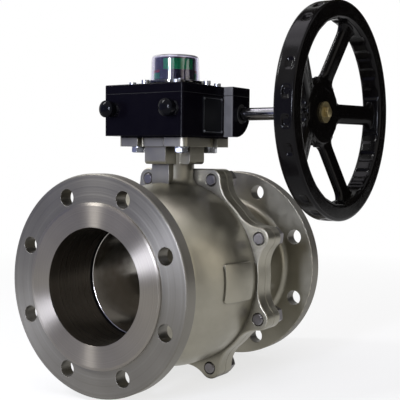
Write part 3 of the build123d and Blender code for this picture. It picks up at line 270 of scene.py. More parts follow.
def makeEven(name, look, cloudsPerMetre, cloudDetail, edgeMm, inputs):
    # one colour, a little cloudy in its tone and its shine, with a fine grain
    material, tree, surface, place = startMaterial(name)
    clouds = addNode(
        tree, "ShaderNodeTexNoise", {"Vector": place, "Scale": cloudsPerMetre, "Detail": cloudDetail}
    )
    tone = addNode(
        tree,
        "ShaderNodeMix",
        {0: clouds.outputs["Fac"], 6: linearColour(look["dark"]), 7: linearColour(look["light"])},
        data_type="RGBA",
    )
    shine = addNode(
        tree,
        "ShaderNodeMapRange",
        {
            "Value": clouds.outputs["Fac"], **noiseRange,
            "To Min": look["rough"][0], "To Max": look["rough"][1],
        },
    )
    grain = addNode(
        tree, "ShaderNodeTexNoise", {"Vector": place, "Scale": 1000 / look["grainMm"], "Detail": 1.0}
    )
    edge = addNode(tree, "ShaderNodeBevel", {"Radius": edgeMm / 1000}, samples=4)
    relief = addNode(
        tree,
        "ShaderNodeBump",
        {
            "Height": grain.outputs["Fac"], "Distance": look["depthMm"] / 1000,
            "Normal": edge.outputs["Normal"],
        },
    )
    setInputs(tree, surface, {
        "Base Color": tone.outputs[2],
        "Roughness": shine.outputs["Result"],
        "Normal": relief.outputs["Normal"],
        **inputs,
    })
    return material


metalSettings = {
    "stainless_steel_polished": {
        "dark": "#8D8983", "light": "#A9A6A1", "rough": (0.14, 0.22), "grainMm": 6.0, "depthMm": 0.003,
    },
    "zinc_plated_steel": {
        "dark": "#8E9096", "light": "#B4B6BC", "rough": (0.24, 0.34), "grainMm": 2.5, "depthMm": 0.004,
    },
    "stainless_steel_rolled": {
        "dark": "#625F60", "light": "#7E7B7C", "rough": (0.30, 0.40), "grainMm": 2.5, "depthMm": 0.004,
    },
    "steel_ground_shaft": {
        "dark": "#7E7D82", "light": "#96959A", "rough": (0.10, 0.17), "grainMm": 3.0, "depthMm": 0.002,
    },
    "ductile_iron_machined": {
        "dark": "#4A4947", "light": "#5E5C59", "rough": (0.38, 0.52), "grainMm": 2.0, "depthMm": 0.015,
    },
    "bearing_bronze_turned": {
        "dark": "#8E6A3A", "light": "#A67F48", "rough": (0.28, 0.40), "grainMm": 2.0, "depthMm": 0.01,
    },
    "brass_plain_turned": {
        "dark": "#8C7F5C", "light": "#A89B76", "rough": (0.38, 0.48), "grainMm": 1.8, "depthMm": 0.008,
    },
}


def makePlainMetal(name, look):
    # turned, ground, polished or plated metal: nearly even, so that its reflections draw its shape
    return makeEven(name, look, cloudsPerMetre=80.0, cloudDetail=2.0, edgeMm=0.35, inputs={"Metallic": 1.0})


skinSettings = {
    "black_gloss_paint_on_iron": {
        "dark": "#040307", "light": "#07060A", "rough": (0.16, 0.24),
        "grainMm": 4.0, "depthMm": 0.012, "specular": 0.045, "edgeMm": 0.6,
    },
    # a lighter grey copy of the black paint: painted light on the worm housing's side
    "black_paint_painted_light": {
        "dark": "#3A393A", "light": "#5A5959", "rough": (0.45, 0.60),
        "grainMm": 4.0, "depthMm": 0.012, "specular": 0.2, "edgeMm": 0.6,
    },
    "black_stove_enamel": {
        "dark": "#050405", "light": "#090808", "rough": (0.14, 0.22),
        "grainMm": 7.0, "depthMm": 0.03, "specular": 0.09, "edgeMm": 1.0,
    },
    "black_moulded_nylon": {
        "dark": "#050507", "light": "#08080B", "rough": (0.11, 0.16),
        "grainMm": 2.5, "depthMm": 0.004, "specular": 0.05, "edgeMm": 0.5,
    },
    "black_nitrile_rubber": {
        "dark": "#101010", "light": "#181817", "rough": (0.50, 0.62),
        "grainMm": 1.5, "depthMm": 0.02, "specular": 0.4, "edgeMm": 0.4,
    },
    "white_ptfe": {
        "dark": "#DCDBD4", "light": "#E8E7E1", "rough": (0.38, 0.48),
        "grainMm": 2.0, "depthMm": 0.01, "specular": 0.5, "edgeMm": 0.3,
    },
    "carbon_filled_ptfe": {
        "dark": "#0F0F10", "light": "#1A1A1B", "rough": (0.42, 0.52),
        "grainMm": 2.0, "depthMm": 0.01, "specular": 0.35, "edgeMm": 0.3,
    },
    "grey_graphite_sheet": {
        "dark": "#0B0B0C", "light": "#131315", "rough": (0.50, 0.62),
        "grainMm": 1.5, "depthMm": 0.02, "specular": 0.1, "edgeMm": 0.2,
    },
    "green_abs_panel": {
        "dark": "#0A8A50", "light": "#109C5C", "rough": (0.30, 0.38),
        "grainMm": 2.0, "depthMm": 0.003, "specular": 0.4, "edgeMm": 0.2,
    },
    "red_abs_panel": {
        "dark": "#7E1418", "light": "#941C20", "rough": (0.30, 0.38),
        "grainMm": 2.0, "depthMm": 0.003, "specular": 0.4, "edgeMm": 0.2,
    },
    "slate_abs_drum": {
        "dark": "#302E3C", "light": "#3C3A49", "rough": (0.26, 0.34),
        "grainMm": 2.0, "depthMm": 0.004, "specular": 0.5, "edgeMm": 0.4,
    },
}


def makeSkin(name, look):
    # sprayed, dipped or moulded skin: even colour under a shine with a slight orange peel
    inputs = {"Specular IOR Level": look["specular"]}
    return makeEven(name, look, cloudsPerMetre=55.0, cloudDetail=3.0, edgeMm=look["edgeMm"], inputs=inputs)


domeSettings = {
    "tint": "#D8D6E4", "rough": 0.03, "ior": 1.585, "waveMm": 12.5, "depthMm": 0.02, "edgeMm": 0.4,
}


def makeClearDome(look=domeSettings):
    # injection-moulded polycarbonate: clear and glossy, with a faint waviness
    material, tree, surface, place = startMaterial("clear_polycarbonate")
    waves = addNode(
        tree, "ShaderNodeTexNoise", {"Vector": place, "Scale": 1000 / look["waveMm"], "Detail": 1.0}
    )
    edge = addNode(tree, "ShaderNodeBevel", {"Radius": look["edgeMm"] / 1000}, samples=4)
    relief = addNode(
        tree,
        "ShaderNodeBump",
        {
            "Height": waves.outputs["Fac"], "Distance": look["depthMm"] / 1000,
            "Normal": edge.outputs["Normal"],
        },
    )
    setInputs(tree, surface, {
        "Normal": relief.outputs["Normal"],
        "Base Color": linearColour(look["tint"]),
        "Roughness": look["rough"],
        "IOR": look["ior"],
        "Transmission Weight": 1.0,
    })
    return material


plateSettings = {
    "face": "#0A0B0D", "line": "#8E9094", "insetMm": 2.2, "lineMm": 0.7,
    "rough": (0.28, 0.36), "cloudMm": 6.25, "specular": 0.1,
}


def makePlate(look=plateSettings):
    # anodised aluminium plate: black, with one bare metal line round its edge
    material, tree, surface, place = startMaterial("anodised_aluminium_plate")
    low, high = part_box("nameplate")
    parts = addNode(tree, "ShaderNodeSeparateXYZ", {"Vector": place})
    distances = []
    for axis, lowSide, highSide in (("X", low[0], high[0]), ("Z", low[2], high[2])):
        middle, half = (lowSide + highSide) / 2, (highSide - lowSide) / 2
        offset = addNode(tree, "ShaderNodeMath", {0: parts.outputs[axis], 1: middle}, operation="SUBTRACT")
        away = addNode(tree, "ShaderNodeMath", {0: offset.outputs["Value"]}, operation="ABSOLUTE")
        left = addNode(tree, "ShaderNodeMath", {0: half, 1: away.outputs["Value"]}, operation="SUBTRACT")
        distances.append(left.outputs["Value"])
    nearest = addNode(tree, "ShaderNodeMath", {0: distances[0], 1: distances[1]}, operation="MINIMUM")
    line = addNode(
        tree,
        "ShaderNodeMath",
        {0: nearest.outputs["Value"], 1: look["insetMm"] / 1000, 2: look["lineMm"] / 2000},
        operation="COMPARE",
    )
    tone = addNode(
        tree,
        "ShaderNodeMix",
        {0: line.outputs["Value"], 6: linearColour(look["face"]), 7: linearColour(look["line"])},
        data_type="RGBA",
    )
    clouds = addNode(
        tree, "ShaderNodeTexNoise", {"Vector": place, "Scale": 1000 / look["cloudMm"], "Detail": 2.0}
    )
    shine = addNode(
        tree,
        "ShaderNodeMapRange",
        {
            "Value": clouds.outputs["Fac"], **noiseRange,
            "To Min": look["rough"][0], "To Max": look["rough"][1],
        },
    )
    setInputs(tree, surface, {
        "Base Color": tone.outputs[2],
        "Metallic": line.outputs["Value"],
        "Specular IOR Level": look["specular"],
        "Roughness": shine.outputs["Result"],
    })
    return material


castStainless = makeCastStainless()
turned = {name: makeTurnedStainless(name, look) for name, look in turnedSettings.items()}
metals = {name: makePlainMetal(name, look) for name, look in metalSettings.items()}
skins = {name: makeSkin(name, look) for name, look in skinSettings.items()}
clearDome = makeClearDome()
plateFinish = makePlate()
print("finishes made")

finishOf = {
    castStainless: ["body_casting", "tailpiece"],
    metals["stainless_steel_polished"]: ["ball", "stem"],
    metals["zinc_plated_steel"]: [
        "mounting_washers", "mounting_bolts", "disc_springs", "stem_nut", "gland_follower",
        "stop_screws", "stop_lock_nuts", "stop_shoes", "end_cover_screws", "nameplate_pins",
        "indicator_screws", "indicator_shaft", "handwheel_key", "drive_sleeve", "cover_screws",
    ],
    metals["stainless_steel_rolled"]: ["joint_studs", "joint_nuts"],
    metals["steel_ground_shaft"]: ["worm_shaft"],
    metals["ductile_iron_machined"]: ["worm_quadrant"],
    metals["bearing_bronze_turned"]: ["worm_bushes"],
    metals["brass_plain_turned"]: ["hub_washer", "hub_screw"],
    skins["black_gloss_paint_on_iron"]: ["gear_housing", "gear_cover", "end_cover"],
    skins["black_stove_enamel"]: ["handwheel"],
    skins["black_moulded_nylon"]: ["stop_caps", "indicator_base"],
    skins["slate_abs_drum"]: ["indicator_drum"],
    skins["black_nitrile_rubber"]: ["shaft_seal"],
    skins["white_ptfe"]: ["stem_thrust_washer", "stem_packing"],
    skins["carbon_filled_ptfe"]: ["seat_ring_inlet", "seat_ring_outlet"],
    skins["grey_graphite_sheet"]: ["body_gasket", "cover_gasket"],
    skins["green_abs_panel"]: ["indicator_open_panels"],
    skins["red_abs_panel"]: ["indicator_shut_panels"],
    clearDome: ["indicator_dome"],
    plateFinish: ["nameplate"],
}


def giveFinish(obj, *materials):
    obj.data.materials.clear()
    for material in materials:
        obj.data.materials.append(material)


for material, names in finishOf.items():
    for name in names:
        giveFinish(nodes[name], material)


def faceRows(mesh):
    # the centre in mm and the normal of every face, a row each
    centres = np.empty(len(mesh.polygons) * 3)
    normals = np.empty(len(mesh.polygons) * 3)
    mesh.polygons.foreach_get("center", centres)
    mesh.polygons.foreach_get("normal", normals)
    return centres.reshape(-1, 3) * 1000, normals.reshape(-1, 3)


# Distances from the middle of the valve along X, and radii from its axis, that part the finishes of a casting
turnedLimits = {
    "raisedFace": 172.2, "flangeFace": 171.5, "flangeBack": 153.5,
    "bore": 75.0, "seat": 87.5, "root": 95.5,
}


def turnFaces(obj, limits=turnedLimits):
    # faces cut on the lathe: the raised face, the rest of the flange with its rim and holes, and the bore
    centres, normals = faceRows(obj.data)
    radius = np.hypot(centres[:, 1], centres[:, 2])
    out = np.abs(centres[:, 0])
    inward = (normals[:, 1] * centres[:, 1] + normals[:, 2] * centres[:, 2]) < 0
    slots = {name: index for index, name in enumerate(turned, start=1)}
    finish = np.zeros(len(out), dtype=np.int32)
    matt = (out > limits["flangeFace"]) | ((out > limits["flangeBack"]) & (radius > limits["root"]))
    finish[matt] = slots["stainless_steel_faced_matt"]
    finish[(out > limits["raisedFace"]) & (radius > limits["bore"])] = slots["stainless_steel_faced_fine"]
    finish[inward & (radius < limits["seat"])] = slots["stainless_steel_bored"]
    giveFinish(obj, castStainless, *turned.values())
    obj.data.polygons.foreach_set("material_index", finish)


for name in ("body_casting", "tailpiece"):
    turnFaces(nodes[name])


def paintLitSide(obj, frontMm=-67.0, facing=-0.6):
    # the worm housing's upright side next to the nameplate, drawn in a lighter grey copy of the black paint
    # as painted light, because the photo shows it grey
    centres, normals = faceRows(obj.data)
    # front faces that look towards -X get the lighter copy: painted light
    litFaces = (normals[:, 0] < facing) & (centres[:, 1] < frontMm)
    giveFinish(obj, skins["black_gloss_paint_on_iron"], skins["black_paint_painted_light"])
    obj.data.polygons.foreach_set("material_index", litFaces.astype(np.int32))


for name in ("gear_housing", "gear_cover"):
    paintLitSide(nodes[name])


smoothing = {"weldMm": 0.002, "sharpDegrees": 32.0}


def makeSmoothing(limits=smoothing):
    # edges flatter than the limit are shaded smooth, the others stay crisp
    group = bpy.data.node_groups.new("smoothByAngle", "GeometryNodeTree")
    group.interface.new_socket("Geometry", in_out="INPUT", socket_type="NodeSocketGeometry")
    group.interface.new_socket("Geometry", in_out="OUTPUT", socket_type="NodeSocketGeometry")
    start = addNode(group, "NodeGroupInput")
    angle = addNode(group, "GeometryNodeInputMeshEdgeAngle").outputs["Unsigned Angle"]
    limit = math.radians(limits["sharpDegrees"])
    flat = addNode(group, "FunctionNodeCompare", {0: angle, 1: limit}, operation="LESS_EQUAL")
    faces = addNode(group, "GeometryNodeSetShadeSmooth", {"Geometry": start.outputs[0], "Shade Smooth": True})
    edges = addNode(
        group,
        "GeometryNodeSetShadeSmooth",
        {"Geometry": faces.outputs[0], "Shade Smooth": flat.outputs["Result"]},
        domain="EDGE",
    )
    addNode(group, "NodeGroupOutput", {"Geometry": edges.outputs[0]})
    return group


smoothGroup = makeSmoothing()


def smoothPiece(obj):
    weld = obj.modifiers.new("weld", "WELD")
    weld.merge_threshold = smoothing["weldMm"] / 1000
    smooth = obj.modifiers.new("smooth", "NODES")
    smooth.node_group = smoothGroup


for obj in nodes.values():
    smoothPiece(obj)
print("finishes given")


def addObject(name, data):
    obj = bpy.data.objects.new(name, data)
    scene.collection.objects.link(obj)
    return obj


def addMesh(name, points, faces, material):
    mesh = bpy.data.meshes.new(name)
    mesh.from_pydata(points, [], faces)
    obj = addObject(name, mesh)
    giveFinish(obj, material)
    return obj


def ringFaces(rings, closedLoop):
    # rings[piece, row, column] are points. Quads join neighbours round each ring and from row to row.
    # A closed loop goes on from the last row to the first, otherwise one face closes each end.
    pieces, rows, columns = rings.shape[:3]
    index = np.arange(pieces * rows * columns).reshape(pieces, rows, columns)
    beside = np.roll(index, -1, axis=2)
    quads = np.stack((index, beside, np.roll(beside, -1, axis=1), np.roll(index, -1, axis=1)), axis=-1)
    if closedLoop:
        return quads.reshape(-1, 4).tolist()
    return quads[:, :-1].reshape(-1, 4).tolist() + index[:, 0, ::-1].tolist() + index[:, -1].tolist()


def addPiece(name, shells, material, body, node):
    # shells are pairs of rings in metres and whether their rows close into a loop
    points, faces = [], []
    for rings, closedLoop in shells:
        faces += [[len(points) + i for i in face] for face in ringFaces(rings, closedLoop)]
        points += rings.reshape(-1, 3).tolist()
    obj = addMesh(name, points, faces, material)
    smoothPiece(obj)
    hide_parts(node)
    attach(obj, body)


def setRound(radii, heights, places, spokes, axis):
    # point = place + spoke * radius * cos(turn) + (axis x spoke) * radius * sin(turn) + axis * height
    turn = np.linspace(0, 2 * np.pi, radii.shape[1], endpoint=False)
    places, spokes = np.asarray(places)[:, None, None], np.asarray(spokes)[:, None, None]
    axis = np.asarray(axis, dtype=float)
    side = np.cross(axis, spokes)
    return (
        places
        + spokes * (radii * np.cos(turn))[None, :, :, None]
        + side * (radii * np.sin(turn))[None, :, :, None]
        + axis * heights[None, :, :, None]
    ) / 1000


def sectionRows(section, turn):
    # a section's radii and heights, each one number or one for every turn, as two arrays of full rows
    rows = [[np.broadcast_to(value, turn.shape) for value in point] for point in section]
    return np.array(rows).transpose(1, 0, 2)


def hexRadius(turn, acrossFlats):
    # from the axis to the side of a hexagon with a corner at turn 0
    return acrossFlats / 2 / np.cos(turn % (math.pi / 3) - math.pi / 6)


def circlePlaces(radius, count, level, first, second, axis):
    # centres on a bolt circle that straddles the centre lines, with the outward direction at each
    turn = (np.arange(count) + 0.5) * 2 * math.pi / count
    spokes = np.outer(np.cos(turn), first) + np.outer(np.sin(turn), second)
    return spokes * radius + np.asarray(axis, dtype=float) * level, spokes


# The valve's axis and the two directions across it, and the same for the mounting pad
alongValve = {"axis": (1, 0, 0), "first": (0, 1, 0), "second": (0, 0, 1)}
alongStem = {"axis": (0, 0, 1), "first": (1, 0, 0), "second": (0, 1, 0)}

# The corners of a nut or a screw head are cut back by a 30 degree cone, from its crown circle outwards
coneSlope = math.tan(math.radians(30))

jointCircle = {"radius": 143.0, "count": 8}
jointNuts = {
    "acrossFlats": 24.0, "height": 13.0, "hole": 8.05, "mouth": 0.9,
    "crown": 0.95, "level": 45.0, "around": 48,
}


def makeNuts(nut=jointNuts):
    # the side at each turn is the hexagon's, cut back at both ends by (hexagon - crown) * slope
    turn = np.linspace(0, 2 * np.pi, nut["around"], endpoint=False)
    side = hexRadius(turn, nut["acrossFlats"])
    crown = nut["crown"] * nut["acrossFlats"] / 2
    cone = (side - crown) * coneSlope
    top, hole, mouth = nut["height"], nut["hole"], nut["mouth"]
    section = (
        (hole + mouth, 0), (crown, 0), (side, cone), (side, top - cone),
        (crown, top), (hole + mouth, top), (hole, top - mouth), (hole, mouth),
    )
    places, spokes = circlePlaces(**jointCircle, level=nut["level"], **alongValve)
    rings = setRound(*sectionRows(section, turn), places, spokes, alongValve["axis"])
    steel = metals["stainless_steel_rolled"]
    addPiece("joint_nuts_chamfered", [(rings, True)], steel, "valve", "joint_nuts")


studs = {
    "radius": 8.0, "level": 8.5, "length": 51.0, "chamfer": 1.3,
    "pitch": 2.0, "depth": 1.1, "threaded": 7.0, "around": 32, "steps": 29,
}


def makeStuds(stud=studs):
    # radius = crest - depth * |2 * fraction(height / pitch - turn / 2 pi) - 1| near both ends, plain between
    # them, and never more than a 45 degree cone allows at the ends
    turn = np.linspace(0, 2 * np.pi, stud["around"], endpoint=False)[None, :]
    steps = np.linspace(0, stud["threaded"], stud["steps"])
    height = np.concatenate((steps, stud["length"] - steps[::-1]))[:, None]
    fromEnd = np.minimum(height, stud["length"] - height)
    groove = np.abs(2 * ((height / stud["pitch"] - turn / (2 * np.pi)) % 1) - 1)
    fade = np.clip((stud["threaded"] - fromEnd) / stud["pitch"], 0, 1)
    threaded = stud["radius"] - stud["depth"] * groove * fade
    radii = np.minimum(threaded, stud["radius"] - stud["chamfer"] + fromEnd)
    heights = np.broadcast_to(height, radii.shape)
    places, spokes = circlePlaces(**jointCircle, level=stud["level"], **alongValve)
    rings = setRound(radii, heights, places, spokes, alongValve["axis"])
    steel = metals["stainless_steel_rolled"]
    addPiece("joint_studs_threaded", [(rings, False)], steel, "valve", "joint_studs")


padBolts = {
    "acrossFlats": 17.0, "headHeight": 6.4, "shank": 5.0, "length": 29.0,
    "circle": {"radius": 51.0, "count": 4, "level": 169.6},
}
hubScrew = {
    "acrossFlats": 13.0, "headHeight": 5.3, "shank": 4.0, "length": 24.0,
    "place": (50.0, -215.3, 224.4),
}


def hexScrewRows(screw, crownShare=0.94, tip=1.0, around=48):
    # head from its crown circle over the cone to the hexagon, then the underside and the plain shank
    turn = np.linspace(0, 2 * np.pi, around, endpoint=False)
    side = hexRadius(turn, screw["acrossFlats"])
    crown = crownShare * screw["acrossFlats"] / 2
    cone = (side - crown) * coneSlope
    head, shank = screw["headHeight"], screw["shank"]
    end = head + screw["length"]
    section = ((crown, 0), (side, cone), (side, head), (shank, head), (shank, end - tip), (shank - tip, end))
    return sectionRows(section, turn)


def makeScrews(pad=padBolts, hub=hubScrew):
    places, spokes = circlePlaces(**pad["circle"], **alongStem)
    rings = setRound(*hexScrewRows(pad), places, spokes, alongStem["axis"])
    zinc = metals["zinc_plated_steel"]
    addPiece("mounting_bolts_chamfered", [(rings, False)], zinc, "valve", "mounting_bolts")
    rings = setRound(*hexScrewRows(hub), [hub["place"]], [(1.0, 0.0, 0.0)], (0, 1, 0))
    brass = metals["brass_plain_turned"]
    addPiece("hub_screw_chamfered", [(rings, False)], brass, "handwheel_set", "hub_screw")


makeNuts()
makeStuds()
makeScrews()
print("fasteners made")

# Enamelled handwheel: a rim with pressed grips, oval spokes that flare at both ends, and a hub with its boss
wheel = {
    "centre": (50.0, 224.4), "outside": 143.5, "inside": 119.2, "front": -237.0, "back": -208.0,
    "corners": (6.0, 3.0, 6.0, 7.0), "cornerPoints": 10, "around": 600, "across": 96,
    "spokes": 5, "spokeHalf": 13.5, "spokeHalfThick": 7.0, "rise": 23.5, "oval": 2.6,
    "spokeStart": 12.0, "rootFlare": 12.0, "endFlare": 16.0, "flareLap": 2.0,
    "spokeSteps": 64, "spokeAround": 48,
    "hub": 43.0, "hubFront": -207.0, "hubBack": -193.0, "hubEdge": 3.0, "hubEdgePoints": 7, "hubAround": 128,
    "boss": 21.0, "bossBack": -172.0, "bore": 9.1,
}
grips = {
    "perGap": 4, "pitch": 14.0, "depth": 2.2,
    "thumb": (8.5, 6.0), "thumbLevel": -226.0, "thumbReach": 4.0, "thumbFade": 3.0,
    "finger": (9.5, 15.0), "fingerReach": 9.0,
}


def softPad(along, across, size):
    # 1 in the middle of a rounded rectangle and 0 outside it: step^2 * (3 - 2 * step), where step is
    # 2 * (1 - (a^4 + b^4)^(1/4)) kept between 0 and 1, and a and b are shares of the half sizes
    reach = ((along / size[0]) ** 4 + (across / size[1]) ** 4) ** 0.25
    step = np.clip(2.0 * (1 - reach), 0, 1)
    return step * step * (3 - 2 * step)


def aboutWheel(turn, radius, level):
    # from an angle, a radius and a level along Y to points in metres
    x = wheel["centre"][0] + radius * np.cos(turn)
    z = wheel["centre"][1] + radius * np.sin(turn)
    return np.stack((x, level + 0 * x, z), axis=-1)[None] / 1000


def rimOutline():
    # levels and radii at even steps round a rectangle with four round corners, as columns
    corners = (
        (wheel["back"], wheel["outside"], -1, -1), (wheel["front"], wheel["outside"], 1, -1),
        (wheel["front"], wheel["inside"], 1, 1), (wheel["back"], wheel["inside"], -1, 1),
    )
    arcs = []
    for index, (level, radius, inLevel, inRadius) in enumerate(corners):
        size = wheel["corners"][index]
        angle = np.radians(np.linspace(90 * index, 90 * index + 90, wheel["cornerPoints"]))
        levels = level + inLevel * size + size * np.cos(angle)
        radii = radius + inRadius * size + size * np.sin(angle)
        arcs.append(np.stack((levels, radii), axis=1))
    outline = np.concatenate(arcs + [arcs[0][:1]])
    length = np.concatenate(([0], np.cumsum(np.hypot(*np.diff(outline, axis=0).T))))
    even = np.linspace(0, length[-1], wheel["across"], endpoint=False)
    return [np.interp(even, length, outline[:, column])[:, None] for column in (0, 1)]


def rimRings():
    # the outline is carried round the axis. Its points move in by depth * softPad at the thumb dents outside,
    # and out by the same at the finger hollows inside
    level, radius = rimOutline()
    turn = np.linspace(0, 2 * np.pi, wheel["around"], endpoint=False)[None, :]
    gap = 2 * np.pi / wheel["spokes"]
    steps = np.arange(grips["perGap"]) - (grips["perGap"] - 1) / 2
    offsets = steps * math.radians(grips["pitch"]) + gap / 2
    away = np.abs((turn % gap)[..., None] - offsets).min(axis=-1)
    outer = np.clip((radius - wheel["outside"] + grips["thumbReach"]) / grips["thumbFade"], 0, 1)
    inner = np.clip((wheel["inside"] + grips["fingerReach"] - radius) / grips["fingerReach"], 0, 1)
    thumb = softPad(away * wheel["outside"], level - grips["thumbLevel"], grips["thumb"]) * outer
    middle = (wheel["front"] + wheel["back"]) / 2
    finger = softPad(away * wheel["inside"], level - middle, grips["finger"]) * inner
    return aboutWheel(turn, radius + grips["depth"] * (finger - thumb), level)


def spokeRings():
    # half width = spoke + root fillet + end fillet, each fillet f - sqrt(f^2 - (f - distance)^2). The section
    # is the superellipse |a|^oval + |b|^oval = 1, and its middle slopes from the hub to the rim
    middle = (wheel["outside"] + wheel["inside"]) / 2
    radius = np.linspace(wheel["hub"] - wheel["spokeStart"], middle, wheel["spokeSteps"])[:, None]
    fromHub = radius - wheel["hub"] + wheel["flareLap"]
    fromRim = wheel["inside"] + wheel["flareLap"] - radius
    half = wheel["spokeHalf"]
    for size, distance in ((wheel["rootFlare"], fromHub), (wheel["endFlare"], fromRim)):
        left = np.clip(size - distance, 0, size)
        half = half + size - np.sqrt(size**2 - left**2)
    slope = np.clip((radius - wheel["hub"]) / (middle - wheel["hub"]), 0, 1)
    levelMiddle = (wheel["hubFront"] + wheel["hubBack"]) / 2 - wheel["rise"] * slope
    angle = np.linspace(2 * np.pi, 0, wheel["spokeAround"], endpoint=False)[None, :]
    circle = (np.cos(angle), np.sin(angle))
    side, thick = (np.sign(part) * np.abs(part) ** (2 / wheel["oval"]) for part in circle)
    level = levelMiddle + thick * wheel["spokeHalfThick"]
    rings = []
    for index in range(wheel["spokes"]):
        turn = 2 * np.pi * index / wheel["spokes"]
        x = wheel["centre"][0] + radius * math.cos(turn) - side * half * math.sin(turn)
        z = wheel["centre"][1] + radius * math.sin(turn) + side * half * math.cos(turn)
        rings.append(np.stack((x, level, z), axis=-1) / 1000)
    return np.stack(rings)


def hubRings():
    # a section from the bore over the face, the rounded edge, the back and the boss, carried round the axis
    edge = wheel["hubEdge"]
    angle = np.radians(np.linspace(0, 90, wheel["hubEdgePoints"]))
    inset, rise = edge - edge * np.cos(angle), edge * np.sin(angle) - edge
    frontEdge = np.stack((wheel["hubFront"] + inset, wheel["hub"] + rise), axis=1)
    backEdge = np.stack((wheel["hubBack"] + rise, wheel["hub"] - inset), axis=1)
    back = [
        (wheel["hubBack"], wheel["boss"]),
        (wheel["bossBack"], wheel["boss"]),
        (wheel["bossBack"], wheel["bore"]),
    ]
    section = np.concatenate(([(wheel["hubFront"], wheel["bore"])], frontEdge, backEdge, back))
    turn = np.linspace(2 * np.pi, 0, wheel["hubAround"], endpoint=False)[None, :]
    return aboutWheel(turn, section[:, 1:], section[:, :1])


shells = [(rimRings(), True), (spokeRings(), False), (hubRings(), True)]
enamel = skins["black_stove_enamel"]
addPiece("handwheel_enamelled", shells, enamel, "handwheel_set", "handwheel")
print("handwheel made")

# Camera, placed where the photograph was taken
cameraSettings = {
    "place": (-0.99050, -0.71305, 0.16304), "azimuth": -56.2113, "elevation": 3.2761, "roll": 0.4246,
    "lens": 77.56, "sensor": 36.0, "shift": (-0.01005, 0.01782), "clip": (0.01, 50.0),
}


def makeCamera(view=cameraSettings):
    azimuth, elevation, roll = (math.radians(view[key]) for key in ("azimuth", "elevation", "roll"))
    reach = math.cos(elevation)
    back = Vector((math.sin(azimuth) * reach, -math.cos(azimuth) * reach, math.sin(elevation)))
    level = Vector((math.cos(azimuth), math.sin(azimuth), 0))
    upright = back.cross(level)
    right = level * math.cos(roll) + upright * math.sin(roll)
    up = back.cross(right)
    data = bpy.data.cameras.new("camera")
    data.lens = view["lens"]
    data.sensor_width = view["sensor"]
    data.shift_x, data.shift_y = view["shift"]
    data.clip_start, data.clip_end = view["clip"]
    camera = addObject("camera", data)
    turn = Matrix((right, up, back)).transposed().to_4x4()
    camera.matrix_world = Matrix.Translation(view["place"]) @ turn
    scene.camera = camera


makeCamera()


def seenDirectly(tree):
    # 1 where the camera, a mirror or clear plastic sees the surface, 0 where it only lights the object
    rays = addNode(tree, "ShaderNodeLightPath").outputs
    either = addNode(
        tree, "ShaderNodeMath", {0: rays["Is Camera Ray"], 1: rays["Is Glossy Ray"]}, operation="MAXIMUM"
    )
    seen = addNode(
        tree,
        "ShaderNodeMath",
        {0: either.outputs["Value"], 1: rays["Is Transmission Ray"]},
        operation="MAXIMUM",
    )
    return seen.outputs["Value"]


# Pale floor under the flange and the joint lobes, nearly white to the camera but still holding the shadow
floorSettings = {
    "radius": 8.0, "corners": 96, "colour": "#ECECEC",
    "nearShare": 0.72, "farShare": 1.0, "nearMm": 300.0, "farMm": 1700.0,
}


def makeFloor(look=floorSettings):
    material = bpy.data.materials.new("pale_studio_floor")
    tree = emptyTree(material)
    place = addNode(tree, "ShaderNodeTexCoord").outputs["Object"]
    away = addNode(tree, "ShaderNodeVectorMath", {0: place}, operation="LENGTH")
    share = addNode(
        tree,
        "ShaderNodeMapRange",
        {
            "Value": away.outputs["Value"],
            "From Min": look["nearMm"] / 1000, "From Max": look["farMm"] / 1000,
            "To Min": look["nearShare"], "To Max": look["farShare"],
        },
    )
    seen = addNode(
        tree, "ShaderNodeMath", {0: seenDirectly(tree), 1: share.outputs["Result"]}, operation="MULTIPLY"
    )
    matt = addNode(tree, "ShaderNodeBsdfDiffuse", {"Color": linearColour(look["colour"])})
    white = addNode(tree, "ShaderNodeEmission", {"Color": (1, 1, 1, 1), "Strength": 1.0})
    both = addNode(
        tree,
        "ShaderNodeMixShader",
        {0: seen.outputs["Value"], 1: matt.outputs[0], 2: white.outputs[0]},
    )
    addNode(tree, "ShaderNodeOutputMaterial", {"Surface": both.outputs[0]})
    turns = np.linspace(0, 2 * math.pi, look["corners"], endpoint=False)
    low = np.full(look["corners"], cadBox[0][2])
    points = np.stack((look["radius"] * np.cos(turns), look["radius"] * np.sin(turns), low), axis=1)
    floor = addMesh("floor", points.tolist(), [list(range(look["corners"]))], material)


makeFloor()


def makeWorld(strength=0.36):
    # white wherever it is seen, and an even weak light on the object
    world = bpy.data.worlds.new("studio")
    tree = emptyTree(world)
    level = addNode(
        tree, "ShaderNodeMapRange", {"Value": seenDirectly(tree), "To Min": strength, "To Max": 1.0}
    )
    light = addNode(
        tree, "ShaderNodeBackground", {"Color": (1, 1, 1, 1), "Strength": level.outputs["Result"]}
    )
    addNode(tree, "ShaderNodeOutputWorld", {"Surface": light.outputs[0]})
    scene.world = world


makeWorld()

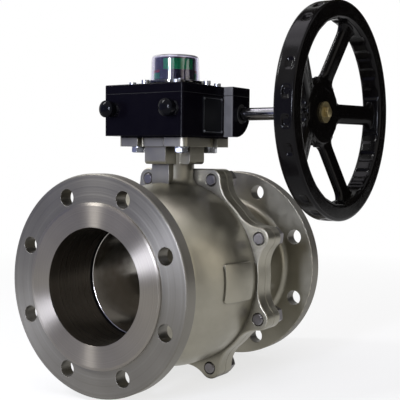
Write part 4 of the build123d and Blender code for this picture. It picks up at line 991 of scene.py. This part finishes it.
softLights = {
    "window": {"place": (-1.9, -0.30, 0.46), "size": (0.22, 0.60), "power": 44.0, "colour": "#E4EAFF"},
    "side": {"place": (-0.5, -2.1, 0.9), "size": (2.6, 1.8), "power": 10.0, "colour": "#FFF2DC"},
    "top": {"place": (-0.25, 0.25, 1.8), "size": (1.4, 1.0), "power": 13.0, "colour": "#F8F4FC"},
    "strip": {"place": (-1.0, 1.3, 1.5), "size": (0.08, 0.6), "power": 22.0, "colour": "#FFFFFF"},
}


def makeLights(aim=(0, 0, 0.08)):
    for name, plan in softLights.items():
        data = bpy.data.lights.new(name, "AREA")
        data.shape = "RECTANGLE"
        data.size, data.size_y = plan["size"]
        data.energy = plan["power"]
        data.color = linearColour(plan["colour"])[:3]
        lamp = addObject(name, data)
        away = Vector(plan["place"]) - Vector(aim)
        lamp.location = plan["place"]
        lamp.rotation_euler = away.to_track_quat("Z", "Y").to_euler()


makeLights()

# Cards beside the lamps, seen only in reflections: dark ones deepen gloss paint and bright metal, and the
# left one gives the faces that look that way their pale blue
cards = {
    "leftCard": {"centre": (-1.1, 0.95, 0.32), "width": 2.2, "height": 1.0, "glow": "#9298CA"},
    "frontCard": {"centre": (-1.45, -1.75, 0.60), "width": 1.7, "height": 1.5, "glow": "#000000"},
    "rightCard": {"centre": (1.35, -1.35, 0.60), "width": 2.2, "height": 1.3, "glow": "#1E1C17"},
    "farCard": {"centre": (1.55, -0.35, 1.30), "width": 2.4, "height": 1.0, "glow": "#3E3A30"},
    "topCard": {"centre": (0.45, 0.1, 1.85), "width": 2.0, "height": 1.5, "glow": "#3A3731"},
}


def makeCards(facing=(0.0, 0.0, 0.25)):
    for name, plan in cards.items():
        material = bpy.data.materials.new(name)
        tree = emptyTree(material)
        glow = addNode(tree, "ShaderNodeEmission", {"Color": linearColour(plan["glow"]), "Strength": 1.0})
        addNode(tree, "ShaderNodeOutputMaterial", {"Surface": glow.outputs[0]})
        centre = Vector(plan["centre"])
        toward = (Vector(facing) - centre).normalized()
        across = toward.cross(Vector((0, 0, 1))).normalized() * plan["width"] / 2
        up = across.cross(toward).normalized() * plan["height"] / 2
        corners = [centre - across - up, centre + across - up, centre + across + up, centre - across + up]
        card = addMesh(name, corners, [(0, 1, 2, 3)], material)
        card.visible_camera = False
        card.visible_diffuse = False
        card.visible_shadow = False


makeCards()
print("studio ready")
